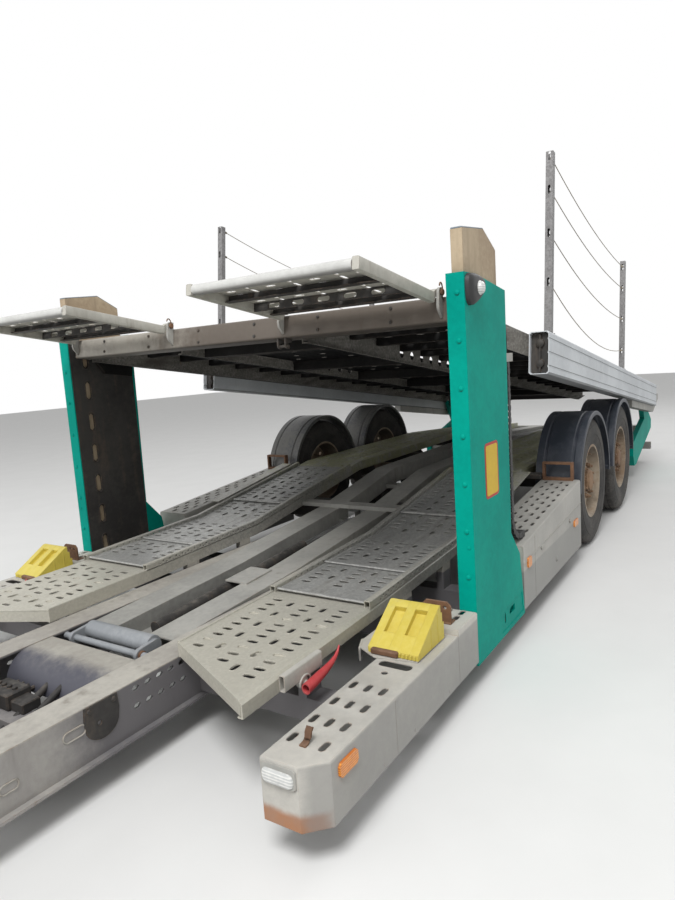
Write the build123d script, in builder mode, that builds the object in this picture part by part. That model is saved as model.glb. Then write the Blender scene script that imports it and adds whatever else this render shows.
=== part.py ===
from build123d import *
import os
from math import atan, cos, radians, sin

# Car transporter trailer: a low centre-axle trailer with two loading decks, parked with the upper
# deck lowered. X runs forward, Y to the trailer's left, Z up, millimetres. The origin is on the
# ground at the middle of the overall length.

# Driving dimensions
overall_length = 8950
half_width = 1275
nose_reach = 2900  # from the posts' front face to the towing eye's tip
post_x = overall_length / 2 - nose_reach
tail_x = -overall_length / 2
sheet = 6
plate = 10
running_gap = 6
seat_gap = 0.05  # between pieces that sit in or turn on one another

# Drawbar frame: two low channel rails with a wide top flange
rail_inner_y = 263
rail_outer_y = 400
rail_bottom_z = 118
rail_top_z = 315
rail_lip = 25
rail_front_x = post_x + nose_reach - 750
rail_rear_x = post_x - 1000
cross_width = 90
cross_top_z = 190
cross_xs = [rail_front_x - cross_width, post_x + 1180, post_x + 330, post_x - 850]
riser_half = 50
seat_width = 36

# Side boxes in front of and behind the posts
box_inner_y = half_width - 195
rear_box_inner_y = half_width - 245
box_front_x = post_x + 1155
box_chamfer = 66
box_bottom_z = 114
box_top_z = 310
box_step_x = post_x + 200
box_step_z = 332
seam = 2  # between the boxes and the posts
box_slot_xs = [post_x + 700, post_x + 815, post_x + 930, post_x + 1040]
box_slot_edges = (53, 109, 165)  # distances from the outer side
box_lug_place = (box_slot_xs[3], box_slot_edges[1])
step_slot_x = post_x + 60
step_slot_pitch = 60
chock_slot_x = post_x + 510
chock_slot_length = 130
chock_slot_width = 24
lug_inset = 90
lug_half = 60
lug_foot = 46
lug_rise = 80
rear_box_end_x = post_x - 1836
rear_box_low_z = 435
rear_box_high_z = 542
rear_slot_middle_x = post_x - 1198
rear_slot_pitch = 107
rear_slot_rows = 11
rear_slot_spread = 56
rear_slot_columns = 4
rear_slot_edge = 129
guard_frame_inner_y = half_width - 227
guard_frame_width = 190
guard_frame_depth = 36
guard_frame_wall = 14
guard_frame_top_z = 657

# Outriggers: columns are station, reach to the side
post_depth_y = 75
outrigger_low_z = 133
outrigger_top_z = 223
outriggers = [
    (post_x + 620, box_inner_y),
    (post_x - 120, half_width - post_depth_y),
    (post_x - 560, half_width - post_depth_y),
]

# Axles
axle_xs = [post_x - 2335, post_x - 3430]
axle_r = 55
axle_drop_z = 250
axle_drop_y = 560
stub_r = 35
stub_run = 150  # from the wheel's middle inwards to the beam's end
stub_end = 39
axle_crank = 120

# Suspension
suspension_y = 330
arm_thickness = 60
arm_reach = 420
arm_eye = 40
arm_hinge_z = 300
arm_depth = 50
arm_drop = 20
bag_r = 75
bag_seat_r = 60
bag_back = 245

# Spine: two box rails that climb over the axles
spine_inner_y = 100
spine_outer_y = 255
spine_height = 110
spine_wall = 8
slot_rail = 30
slot_rail_length = 70
deck_low_z = 560
# columns: station x, top z
spine_line = [
    (post_x + 690, 305),
    (post_x - 150, 345),
    (post_x - 1150, 430),
    (axle_xs[0] + 420, deck_low_z),
    (axle_xs[1] - 420, deck_low_z),
    (tail_x + 150, 430),
]
slot_rail_xs = [
    post_x + 500,
    post_x - 1180,
    axle_xs[0] + 500,
    (axle_xs[0] + axle_xs[1]) / 2,
    axle_xs[1] - 900,
    tail_x + 200,
]
bar_x = post_x - 1180
bar_length = 60
bar_height = 26

# Lower tracks: two perforated trays beside the spine
track_inner_y = 405
track_outer_y = half_width - 355
track_flange = 60
track_front_skew = 230
# columns: station x, top z
track_line = [
    (post_x + 1040, 372),
    (post_x + 200, 384),
    (post_x - 630, 410),
    (axle_xs[0] + 420, 600),
    (axle_xs[1] - 420, 600),
    (tail_x + 150, 470),
]

# Long holes punched in the tracks, the boxes and the flaps
slot_length = 50
slot_width = 16
slot_pitch = 53.3
first_slot_x = post_x + 848
# columns: distance from the track's inner edge, first row, rows apart, turn
slot_columns = [
    (94, 1, 1, 90),
    (180, 1.5, 2, 0),
    (266, 0, 1, 90),
    (346, -0.5, 2, 0),
    (430, -1, 1, 90),
]

# Overlapping plates laid in the tracks between their side rails
rail_front_end = post_x + 250
rail_rear_end = post_x - 1780
rail_rise = 30
rail_width = 28
# columns: front end, rear end
plate_table = [
    (post_x + 233, post_x - 200),
    (post_x - 150, post_x - 1010),
    (post_x - 967, post_x - 1760),
]
plate_lift = 8
edge_roll = 8
edge_rise = 4

# Wheel guides beside the tracks, and the bearers' shares of the run from the rear axle to the tail
guide_front_x = post_x - 850
guide_rear_x = post_x - 1700
guide_rise = 40
guide_width = 80
bearer_length = 80
bearer_shares = (0.267, 0.649)

# Posts: green channel, dark guide plate towards the load, and a sliding mast between them
post_length = 476
post_lean = 16
post_foot = 630
post_top_flat = 130
post_low_z = 547
post_flare = 577
post_flare_z = 418
post_bottom_z = 100
post_floor_z = 150
post_top_z = 1689
post_rear_top_z = 1645
foot_press = 3
foot_panel = [
    (post_x - 300, 122),
    (post_x - 300, 205),
    (post_x - 330, 222),
    (post_x - 594, 222),
    (post_x - 612, 122),
]
# columns: place, size
foot_openings = [((post_x - 450, 186), (74, 30)), ((post_x - 352, 176), (16, 44))]
guide_plate = 8
guide_top_z = 1600
guide_slots = 7
guide_slot_pitch = 190
guide_slot_size = (110, 34)
guide_slot_x = post_x - 110
guide_slot_z = 930
mast_thickness = post_depth_y - guide_plate - sheet - 2 * running_gap
mast_front = 30
mast_length = 370
mast_top_z = 1880
mast_bottom_z = post_floor_z + 0.3
mast_tip = 70

# Wheels
wheel_r = 445
rim_r = 250
tyre_width = 256
tyre_outer_y = half_width - 17
wheel_y = tyre_outer_y - tyre_width / 2
web_y = 44  # the wheel disc's faces are measured from the wheel's middle outwards
disc_face_y = 68
disc_back_y = 12
disc_r = 140
disc_sheet = 20
rim_drop = 28
hub_cap_r = 75
hub_cap_y = 100
hand_holes = 8
hand_hole_r = 17
hand_ring_r = 180
mudguard_gap = 35
mudguard_wall = 10
mudguard_inner_y = half_width - 290
stay_overlap = 60
stay_inset = 25
stay_length = 190
stay_height = 32
stay_z = 561
tail_lamp_depth = 50
tail_lamp_size = (260, 84)

# Upper deck, lowered on its stops: it slopes down to its rear pivot
deck_slope = atan(0.128)
deck_front_x = post_x - 50
deck_front_z = 1610
deck_tail_gap = 139
deck_length = (deck_front_x - tail_x - deck_tail_gap) / cos(deck_slope)
side_beam_width = 110
deck_track_inner_y = 400
deck_track_outer_y = half_width - side_beam_width
deck_web = 120
front_beam_depth = 105
front_beam_length = 100
front_beam_half = half_width - 90
side_beam_start = 1149
side_beam_end = deck_length - 440
side_beam_rise = 12
side_beam_fall = 220
pivot_reach = deck_length - 520
pivot_drop = 150
pivot_r = 25
pivot_plate = 20

# Loading flaps hinged on the deck's front beam
flap_inner_y = 375
flap_outer_y = deck_track_outer_y - 15
flap_length = 605
flap_depth = 45
flap_rise = 0.9
flap_pin_r = 9
flap_slot_apart = (66, 140)
flap_slot_grid = (6, 4)

# Stanchions on the deck's side beams: distance from the deck's front, height
stanchion_table = [(1299, 1010), (3589, 920)]
stanchion_size = 40
stanchion_wall = 4
stanchion_inset = 45

os.makedirs("parts", exist_ok=True)


def save(built, name):
    built.part.label = name
    export_step(built.part, "parts/" + name + ".step")


def strip(line, thickness):
    # closed outline of a kinked strip seen from the side, its top on the given line
    low = [(x, z - thickness) for x, z in reversed(line)]
    return [(x, z) for x, z in line] + low


def line_z(line, x):
    # height of a kinked line at a station
    for (xa, za), (xb, zb) in zip(line, line[1:]):
        if xb <= x <= xa:
            return za + (zb - za) * (x - xa) / (xb - xa)
    return line[0][1] if x > line[0][0] else line[-1][1]


def stretch(line, front, rear, lift):
    # the part of a kinked line between two stations, lifted
    kinks = [(x, z) for x, z in line if rear < x < front]
    return [(x, z + lift) for x, z in [(front, line_z(line, front))] + kinks + [(rear, line_z(line, rear))]]


def slot_outline(length, width):
    # long hole with pointed ends, drawn about its centre
    run = length / 2
    tip = width / 2
    return [(-run, 0), (tip - run, tip), (run - tip, tip), (run, 0), (run - tip, -tip), (tip - run, -tip)]


def track_slots(front, rear):
    # places and turns of the slots between two stations of a track, from its inner edge outwards
    for across, first, apart, turn in slot_columns:
        row = first
        while first_slot_x - row * slot_pitch > rear:
            if first_slot_x - row * slot_pitch < front:
                yield first_slot_x - row * slot_pitch, across, turn
            row += apart


def side_plane(y):
    # drawing plane with x along the trailer and z up, its material growing towards +Y
    return Plane(origin=(0, y, 0), x_dir=(1, 0, 0), z_dir=(0, -1, 0))


def flank(side, inner, outer):
    # side plane on the right-hand face of a piece that lies between two distances from the middle
    return side_plane(inner if side > 0 else -outer)


def across_plane(x):
    # drawing plane across the trailer: its x is +Y, its y is up, its normal points forward
    return Plane(origin=(x, 0, 0), x_dir=(0, 1, 0), z_dir=(1, 0, 0))


# Upper deck's own planes: along the deck, and across it at a distance behind its front edge
deck_dir = Vector(cos(deck_slope), 0, sin(deck_slope))
deck_up = Vector(-sin(deck_slope), 0, cos(deck_slope))


def deck_point(back, height):
    return Vector(deck_front_x, 0, deck_front_z) - deck_dir * back + deck_up * height


def deck_flank(side, inner, outer):
    y = inner if side > 0 else -outer
    return Plane(origin=deck_point(0, 0) + Vector(0, y, 0), x_dir=deck_dir, z_dir=(0, -1, 0))


def deck_across_plane(back):
    return Plane(origin=deck_point(back, 0), x_dir=(0, 1, 0), z_dir=deck_dir)


def deck_top_plane(height):
    return Plane(origin=deck_point(0, height), x_dir=deck_dir, z_dir=deck_up)


# Main frame: two channel rails, their cross members, and outriggers to the boxes and posts
web_slot_rows = (222, 288)
web_slot_count = 5
web_slot_pitch = 55
web_slot_middle_x = post_x + 905
web_slot_size = (34, 18)
with BuildPart() as main_frame:
    with BuildSketch(across_plane(rail_rear_x)):
        with BuildLine():
            Polyline(
                (rail_inner_y, rail_top_z),
                (rail_outer_y, rail_top_z),
                (rail_outer_y, rail_bottom_z + plate),
                (rail_outer_y + rail_lip, rail_bottom_z + plate),
                (rail_outer_y + rail_lip, rail_bottom_z),
                (rail_inner_y + rail_lip, rail_bottom_z),
                (rail_inner_y + rail_lip, rail_bottom_z + plate),
                (rail_outer_y - plate, rail_bottom_z + plate),
                (rail_outer_y - plate, rail_top_z - plate),
                (rail_inner_y, rail_top_z - plate),
                close=True,
            )
        make_face()
        mirror(about=Plane.YZ)
    extrude(amount=rail_front_x - rail_rear_x)
    for z in web_slot_rows:
        with BuildSketch(side_plane(-rail_outer_y - plate)):
            with Locations((web_slot_middle_x, z)):
                with GridLocations(web_slot_pitch, 1, web_slot_count, 1):
                    Polygon(*slot_outline(*web_slot_size), align=None)
        extrude(amount=-2 * (rail_outer_y + plate), mode=Mode.SUBTRACT)
    for x in cross_xs:
        with BuildSketch(across_plane(x)):
            with Locations((0, (rail_bottom_z + plate + cross_top_z) / 2)):
                Rectangle(2 * (rail_outer_y - plate), cross_top_z - rail_bottom_z - plate)
        extrude(amount=cross_width)
    for x, reach in outriggers:
        ahead = x + cross_width
        with BuildSketch(across_plane(x)):
            with Locations(((rail_outer_y + reach) / 2, (outrigger_low_z + outrigger_top_z) / 2)):
                Rectangle(reach - rail_outer_y, outrigger_top_z - outrigger_low_z)
            mirror(about=Plane.YZ)
        extrude(amount=cross_width)
        # seats under the tracks' flanges
        seat = [
            (x, outrigger_top_z),
            (ahead, outrigger_top_z),
            (ahead, line_z(track_line, ahead) - track_flange),
            (x, line_z(track_line, x) - track_flange),
        ]
        for side in (1, -1):
            for inner in (track_inner_y, track_outer_y - seat_width):
                with BuildSketch(flank(side, inner, inner + seat_width)):
                    Polygon(*seat, align=None)
                extrude(amount=-seat_width)
    # risers that carry the spine
    riser_inner_y = (spine_inner_y + spine_outer_y) / 2 - riser_half
    for x in cross_xs[2:]:
        ahead = x + cross_width
        riser = [
            (x, cross_top_z),
            (ahead, cross_top_z),
            (ahead, line_z(spine_line, ahead) - spine_height),
            (x, line_z(spine_line, x) - spine_height),
        ]
        for side in (1, -1):
            with BuildSketch(flank(side, riser_inner_y, riser_inner_y + 2 * riser_half)):
                Polygon(*riser, align=None)
            extrude(amount=-2 * riser_half)
save(main_frame, "main_frame")

# Spine rails with the low rungs between them, the bar that ties the tracks, and a cover plate
cover_front_x = post_x + 107
cover_rear_x = post_x - 90
cover_width = 140
cover_thickness = 8
with BuildPart() as spine_rails:
    for side in (1, -1):
        with BuildSketch(flank(side, spine_inner_y, spine_outer_y)):
            Polygon(*strip(spine_line, spine_height), align=None)
        extrude(amount=spine_inner_y - spine_outer_y)
    ends = spine_rails.faces().sort_by(Axis.X)
    offset(amount=-spine_wall, openings=ends[:2] + ends[-2:])
    for x in slot_rail_xs:
        z = line_z(spine_line, x)
        with BuildSketch(across_plane(x)):
            with Locations((0, z - spine_height + slot_rail / 2)):
                Rectangle(2 * spine_inner_y + spine_wall, slot_rail)
        extrude(amount=slot_rail_length)
    with BuildSketch(side_plane(-rail_outer_y)):
        Polygon(*strip(stretch(spine_line, bar_x + bar_length, bar_x, bar_height), bar_height), align=None)
    extrude(amount=-2 * rail_outer_y)
    with BuildSketch(side_plane(0)):
        cover_line = stretch(spine_line, cover_front_x, cover_rear_x, cover_thickness)
        Polygon(*strip(cover_line, cover_thickness), align=None)
    extrude(amount=-cover_width)
save(spine_rails, "spine_rails")

# Lower tracks: tray with down-turned flanges, slots in its front stretch, and side rails behind
with BuildPart() as lower_tracks:
    for side in (1, -1):
        with BuildSketch(flank(side, track_inner_y, track_outer_y)):
            Polygon(*strip(track_line, sheet), align=None)
        extrude(amount=track_inner_y - track_outer_y)
        for inner in (track_inner_y, track_outer_y - sheet):
            with BuildSketch(flank(side, inner, inner + sheet)):
                Polygon(*strip(track_line, track_flange), align=None)
            extrude(amount=-sheet)
        side_rail = strip(stretch(track_line, rail_front_end, rail_rear_end, rail_rise), rail_rise)
        for inner in (track_inner_y, track_outer_y - rail_width):
            with BuildSketch(flank(side, inner, inner + rail_width)):
                Polygon(*side_rail, align=None)
            extrude(amount=-rail_width)
        # oblique front end and its slots
        front = track_line[0][0]
        with BuildSketch(Plane.XY.offset(line_z(track_line, rail_front_end) + plate)):
            Polygon(
                (front + 1, side * (track_inner_y - 1)),
                (front + 1, side * (track_outer_y + 1)),
                (front - track_front_skew, side * (track_inner_y - 1)),
                align=None,
            )
            for x, across, turn in track_slots(front, rail_front_end + slot_width):
                with Locations((x, side * (track_inner_y + across))):
                    Polygon(*slot_outline(slot_length, slot_width), rotation=turn, align=None)
        extrude(amount=-(track_flange + 3 * plate), mode=Mode.SUBTRACT)
save(lower_tracks, "lower_tracks")


def plate_line(front, rear):
    # underside of a loose plate, its front edge lifted onto the tail of the plate before it
    return [(x, z + plate_lift * (x - rear) / (front - rear)) for x, z in stretch(track_line, front, rear, 0)]


# Loose plates that overlap like roof tiles between the tracks' side rails
with BuildPart() as track_plates:
    inner = track_inner_y + rail_width
    outer = track_outer_y - rail_width
    for side in (1, -1):
        for (front, rear), punched in zip(plate_table, (True, False, False)):
            under = plate_line(front, rear)
            edge_z = under[0][1]
            with BuildSketch(flank(side, inner, outer)):
                Polygon(*strip([(x, z + sheet) for x, z in under], sheet), align=None)
                # rolled front edge
                Polygon(
                    (front, edge_z),
                    (front + edge_roll, edge_z),
                    (front + edge_roll, edge_z + sheet + edge_rise),
                    (front - edge_roll, edge_z + sheet + edge_rise),
                    (front - edge_roll, edge_z),
                    align=None,
                )
            extrude(amount=inner - outer)
            if punched:
                with BuildSketch(Plane.XY.offset(edge_z + 2 * plate)):
                    for x, across, turn in track_slots(front - slot_length, rear + 2 * slot_length):
                        with Locations((x, side * (track_inner_y + across))):
                            Polygon(*slot_outline(slot_length, slot_width), rotation=turn, align=None)
                extrude(amount=-4 * plate, mode=Mode.SUBTRACT)
save(track_plates, "track_plates")

# Wheel guides: raised outer angles beside the tracks' climbing stretch
with BuildPart() as wheel_guides:
    guide_line = stretch(track_line, guide_front_x, guide_rear_x, guide_rise)
    for side in (1, -1):
        with BuildSketch(flank(side, track_outer_y, track_outer_y + guide_width)):
            Polygon(*strip(guide_line, sheet), align=None)
        extrude(amount=-guide_width)
        with BuildSketch(flank(side, track_outer_y, track_outer_y + sheet)):
            Polygon(*strip(guide_line, guide_rise + track_flange), align=None)
        extrude(amount=-sheet)
save(wheel_guides, "wheel_guides")

# Cross bearers that carry the lower tracks beside the spine
bearer_run = axle_xs[1] - tail_x
bearers = [
    (post_x - 1300, rear_box_inner_y),
    ((axle_xs[0] + axle_xs[1]) / 2, track_outer_y),
    (axle_xs[1] - bearer_shares[0] * bearer_run, track_outer_y),
    (axle_xs[1] - bearer_shares[1] * bearer_run, track_outer_y),
]
with BuildPart() as track_bearers:
    for x, reach in bearers:
        ahead = x + bearer_length
        low = min(line_z(spine_line, x), line_z(spine_line, ahead)) - spine_height
        for side in (1, -1):
            with BuildSketch(flank(side, spine_outer_y, reach)):
                Polygon(
                    (x, low),
                    (ahead, low),
                    (ahead, line_z(track_line, ahead) - track_flange),
                    (x, line_z(track_line, x) - track_flange),
                    align=None,
                )
            extrude(amount=spine_outer_y - reach)
save(track_bearers, "track_bearers")

# Front side boxes: folded sheet, open below, with a faceted nose and punched tops
box_rear_x = post_x + seam
with BuildPart() as front_boxes:
    for side in (1, -1):
        with BuildSketch(Plane.XY.offset(box_bottom_z)):
            Polygon(
                (box_rear_x, side * box_inner_y),
                (box_front_x, side * box_inner_y),
                (box_front_x, side * (half_width - box_chamfer)),
                (box_front_x - box_chamfer, side * half_width),
                (box_rear_x, side * half_width),
                align=None,
            )
        extrude(amount=box_top_z - box_bottom_z)
        with BuildSketch(Plane.XY.offset(box_top_z)):
            with Locations(((box_rear_x + box_step_x) / 2, side * (box_inner_y + half_width) / 2)):
                Rectangle(box_step_x - box_rear_x, half_width - box_inner_y)
        extrude(amount=box_step_z - box_top_z)
    offset(amount=-sheet, openings=front_boxes.faces().sort_by(Axis.Z)[:2])
    for side in (1, -1):
        with BuildSketch(Plane.XY.offset(box_step_z + plate)):
            for x in box_slot_xs:
                for edge in box_slot_edges:
                    if (x, edge) != box_lug_place:
                        with Locations((x, side * (half_width - edge))):
                            Polygon(*slot_outline(slot_length, slot_width), align=None)
            with Locations((step_slot_x, side * (half_width - box_slot_edges[1]))):
                with GridLocations(step_slot_pitch, box_slot_edges[1] - box_slot_edges[0], 2, 2):
                    Polygon(*slot_outline(slot_length, slot_width), align=None)
            with Locations((chock_slot_x, side * (half_width - box_slot_edges[1]))):
                Polygon(*slot_outline(chock_slot_length, chock_slot_width), rotation=90, align=None)
        extrude(amount=-4 * plate, mode=Mode.SUBTRACT)
save(front_boxes, "front_boxes")

# Rear side boxes with their sloping punched tops
rear_box_front_x = post_x - post_foot - seam
with BuildPart() as rear_boxes:
    for side in (1, -1):
        with BuildSketch(flank(side, rear_box_inner_y, half_width)):
            Polygon(
                (rear_box_front_x, box_bottom_z),
                (rear_box_front_x, rear_box_low_z),
                (rear_box_end_x, rear_box_high_z),
                (rear_box_end_x, box_bottom_z),
                align=None,
            )
        extrude(amount=rear_box_inner_y - half_width)
    offset(amount=-sheet, openings=rear_boxes.faces().sort_by(Axis.Z)[:2])
    for side in (1, -1):
        with BuildSketch(Plane.XY.offset(rear_box_high_z + plate)):
            with Locations((rear_slot_middle_x, side * (half_width - rear_slot_edge))):
                with GridLocations(rear_slot_pitch, rear_slot_spread, rear_slot_rows, rear_slot_columns):
                    Rectangle(slot_length, slot_width)
        extrude(amount=rear_box_low_z - rear_box_high_z - 3 * plate, mode=Mode.SUBTRACT)
save(rear_boxes, "rear_boxes")


def rear_box_top(x):
    share = (rear_box_front_x - x) / (rear_box_front_x - rear_box_end_x)
    return rear_box_low_z + (rear_box_high_z - rear_box_low_z) * share


# Rusty frames that stand on the rear boxes before the first mudguards
with BuildPart() as guard_frames:
    ahead = rear_box_end_x + guard_frame_depth
    for side in (1, -1):
        with BuildSketch(flank(side, guard_frame_inner_y, guard_frame_inner_y + guard_frame_width)):
            Polygon(
                (rear_box_end_x, rear_box_top(rear_box_end_x)),
                (ahead, rear_box_top(ahead)),
                (ahead, guard_frame_top_z),
                (rear_box_end_x, guard_frame_top_z),
                align=None,
            )
        extrude(amount=-guard_frame_width)
        middle_y = side * (guard_frame_inner_y + guard_frame_width / 2)
        with BuildSketch(across_plane(rear_box_end_x - 1)):
            with Locations((middle_y, (rear_box_high_z + guard_frame_top_z) / 2)):
                Rectangle(
                    guard_frame_width - 2 * guard_frame_wall,
                    guard_frame_top_z - rear_box_high_z - 2 * guard_frame_wall,
                )
        extrude(amount=guard_frame_depth + 2, mode=Mode.SUBTRACT)
save(guard_frames, "guard_frames")

# Posts: green channels, hollow for the mast, open at the top and towards the load
post_outline = [
    (post_x, post_bottom_z),
    (post_x, post_top_z),
    (post_x - post_top_flat, post_top_z),
    (post_x - post_length, post_rear_top_z),
    (post_x - post_length + post_lean, post_low_z),
    (post_x - post_flare, post_flare_z),
    (post_x - post_foot, box_bottom_z),
    (post_x - post_foot, post_bottom_z),
]
post_inner_y = half_width - post_depth_y
bay_rear_x = post_x - post_length + sheet + post_lean
with BuildPart() as posts:
    for side in (1, -1):
        with BuildSketch(flank(side, post_inner_y, half_width)):
            Polygon(*post_outline, align=None)
        extrude(amount=-post_depth_y)
        with BuildSketch(flank(side, post_inner_y - 1, half_width - sheet)):
            Polygon(
                (post_x - sheet, post_floor_z),
                (post_x - sheet, post_top_z + 1),
                (bay_rear_x, post_top_z + 1),
                (bay_rear_x, post_floor_z),
                align=None,
            )
        extrude(amount=post_inner_y - 1 - half_width + sheet, mode=Mode.SUBTRACT)
        # pressed panel in the outer skin's foot, with its two openings
        with BuildSketch(flank(side, half_width - foot_press, half_width + 1)):
            Polygon(*foot_panel, align=None)
        extrude(amount=-foot_press - 1, mode=Mode.SUBTRACT)
        with BuildSketch(flank(side, half_width - 3 * sheet, half_width)):
            for place, opening in foot_openings:
                with Locations(place):
                    Rectangle(*opening)
        extrude(amount=-3 * sheet, mode=Mode.SUBTRACT)
save(posts, "posts")

# Guide plates that close the posts towards the load, with their locking slots
with BuildPart() as guide_plates:
    for side in (1, -1):
        with BuildSketch(flank(side, post_inner_y, post_inner_y + guide_plate)):
            Polygon(
                (post_x - sheet, post_floor_z),
                (post_x - sheet, guide_top_z),
                (bay_rear_x, guide_top_z),
                (bay_rear_x, post_floor_z),
                align=None,
            )
            with Locations((guide_slot_x, guide_slot_z)):
                with GridLocations(1, guide_slot_pitch, 1, guide_slots):
                    Polygon(*slot_outline(*guide_slot_size), rotation=90, align=None, mode=Mode.SUBTRACT)
        extrude(amount=-guide_plate)
save(guide_plates, "guide_plates")

# Masts that slide up in the posts
mast_outer_y = half_width - sheet - running_gap
mast_front_x = post_x - mast_front
mast_rear_x = mast_front_x - mast_length
for side, name in ((1, "mast_left"), (-1, "mast_right")):
    with BuildPart() as mast:
        with BuildSketch(flank(side, mast_outer_y - mast_thickness, mast_outer_y)):
            Polygon(
                (mast_front_x, mast_bottom_z),
                (mast_front_x, mast_top_z - mast_tip / 3),
                (mast_rear_x + 2 * mast_tip, mast_top_z),
                (mast_rear_x, mast_top_z - mast_tip),
                (mast_rear_x, mast_bottom_z),
                align=None,
            )
        extrude(amount=-mast_thickness)
        offset(amount=-sheet, openings=[mast.faces().sort_by(Axis.Z)[0]])
    save(mast, name)

# Axles: dropped beam with raised ends and a stub for each wheel
stub_start_y = wheel_y - stub_run
for axle_x, name in zip(axle_xs, ("axle_front", "axle_rear")):
    with BuildPart() as axle:
        with BuildLine():
            beam_path = Polyline(
                (axle_x, -stub_start_y, wheel_r),
                (axle_x, -axle_drop_y - axle_crank, wheel_r),
                (axle_x, -axle_drop_y + axle_crank / 2, axle_drop_z),
                (axle_x, axle_drop_y - axle_crank / 2, axle_drop_z),
                (axle_x, axle_drop_y + axle_crank, wheel_r),
                (axle_x, stub_start_y, wheel_r),
            )
        with BuildSketch(Plane(origin=beam_path @ 0, z_dir=beam_path % 0)):
            Rectangle(2 * axle_r, 2 * axle_r)
        sweep(path=beam_path, transition=Transition.RIGHT)
        for side in (1, -1):
            with BuildSketch(flank(side, stub_start_y - 1, wheel_y + stub_end)):
                with Locations((axle_x, wheel_r)):
                    Circle(stub_r)
            extrude(amount=stub_start_y - 1 - wheel_y - stub_end)
    save(axle, name)

# Suspension: hangers under the spine, trailing arms, and air bags behind the axles
arm_outer_y = suspension_y + arm_thickness / 2
bag_high = deck_low_z - spine_height
with BuildPart() as hangers:
    top = deck_low_z - spine_height / 2
    for axle_x in axle_xs:
        hinge_x = axle_x + arm_reach
        for side in (1, -1):
            with BuildSketch(flank(side, spine_outer_y, arm_outer_y)):
                Polygon(
                    (hinge_x - 2 * arm_eye, top),
                    (hinge_x + 2 * arm_eye, top),
                    (hinge_x + arm_eye, arm_hinge_z),
                    (hinge_x - arm_eye, arm_hinge_z),
                    align=None,
                )
            extrude(amount=spine_outer_y - arm_outer_y)
            # plate over the air bag
            with BuildSketch(flank(side, spine_outer_y, arm_outer_y)):
                with Locations((axle_x - bag_back, bag_high + plate / 2)):
                    Rectangle(2 * bag_seat_r, plate)
            extrude(amount=spine_outer_y - arm_outer_y)
save(hangers, "hangers")

arm_seat_z = axle_drop_z - axle_r
with BuildPart() as trailing_arms:
    for axle_x in axle_xs:
        hinge_x = axle_x + arm_reach
        tail = axle_x - bag_back - bag_r - plate
        for side in (1, -1):
            with BuildSketch(flank(side, arm_outer_y - arm_thickness, arm_outer_y)):
                Polygon(
                    (hinge_x + arm_eye, arm_hinge_z),
                    (hinge_x - arm_eye, arm_hinge_z),
                    (axle_x + 2 * axle_r, arm_seat_z),
                    (axle_x - 2 * axle_r, arm_seat_z),
                    (axle_x - 3 * axle_r, arm_seat_z - arm_drop),
                    (tail, arm_seat_z - arm_drop),
                    (tail, arm_seat_z - arm_depth),
                    (axle_x + 2 * axle_r, arm_seat_z - arm_depth),
                    (hinge_x + arm_eye, arm_hinge_z - arm_depth),
                    align=None,
                )
            extrude(amount=-arm_thickness)
save(trailing_arms, "trailing_arms")

with BuildPart() as air_bags:
    bag_low = arm_seat_z - arm_drop
    bag_waist = (bag_low + bag_high) / 2
    for axle_x in axle_xs:
        x = axle_x - bag_back
        for side in (1, -1):
            with BuildSketch(side_plane(side * suspension_y)):
                Polygon(
                    (x, bag_low),
                    (x + bag_seat_r, bag_low),
                    (x + bag_r, (bag_low + bag_waist) / 2),
                    (x + bag_seat_r, bag_waist),
                    (x + bag_r, (bag_high + bag_waist) / 2),
                    (x + bag_seat_r, bag_high),
                    (x, bag_high),
                    align=None,
                )
            revolve(axis=Axis((x, side * suspension_y, 0), (0, 0, 1)))
save(air_bags, "air_bags")

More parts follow.
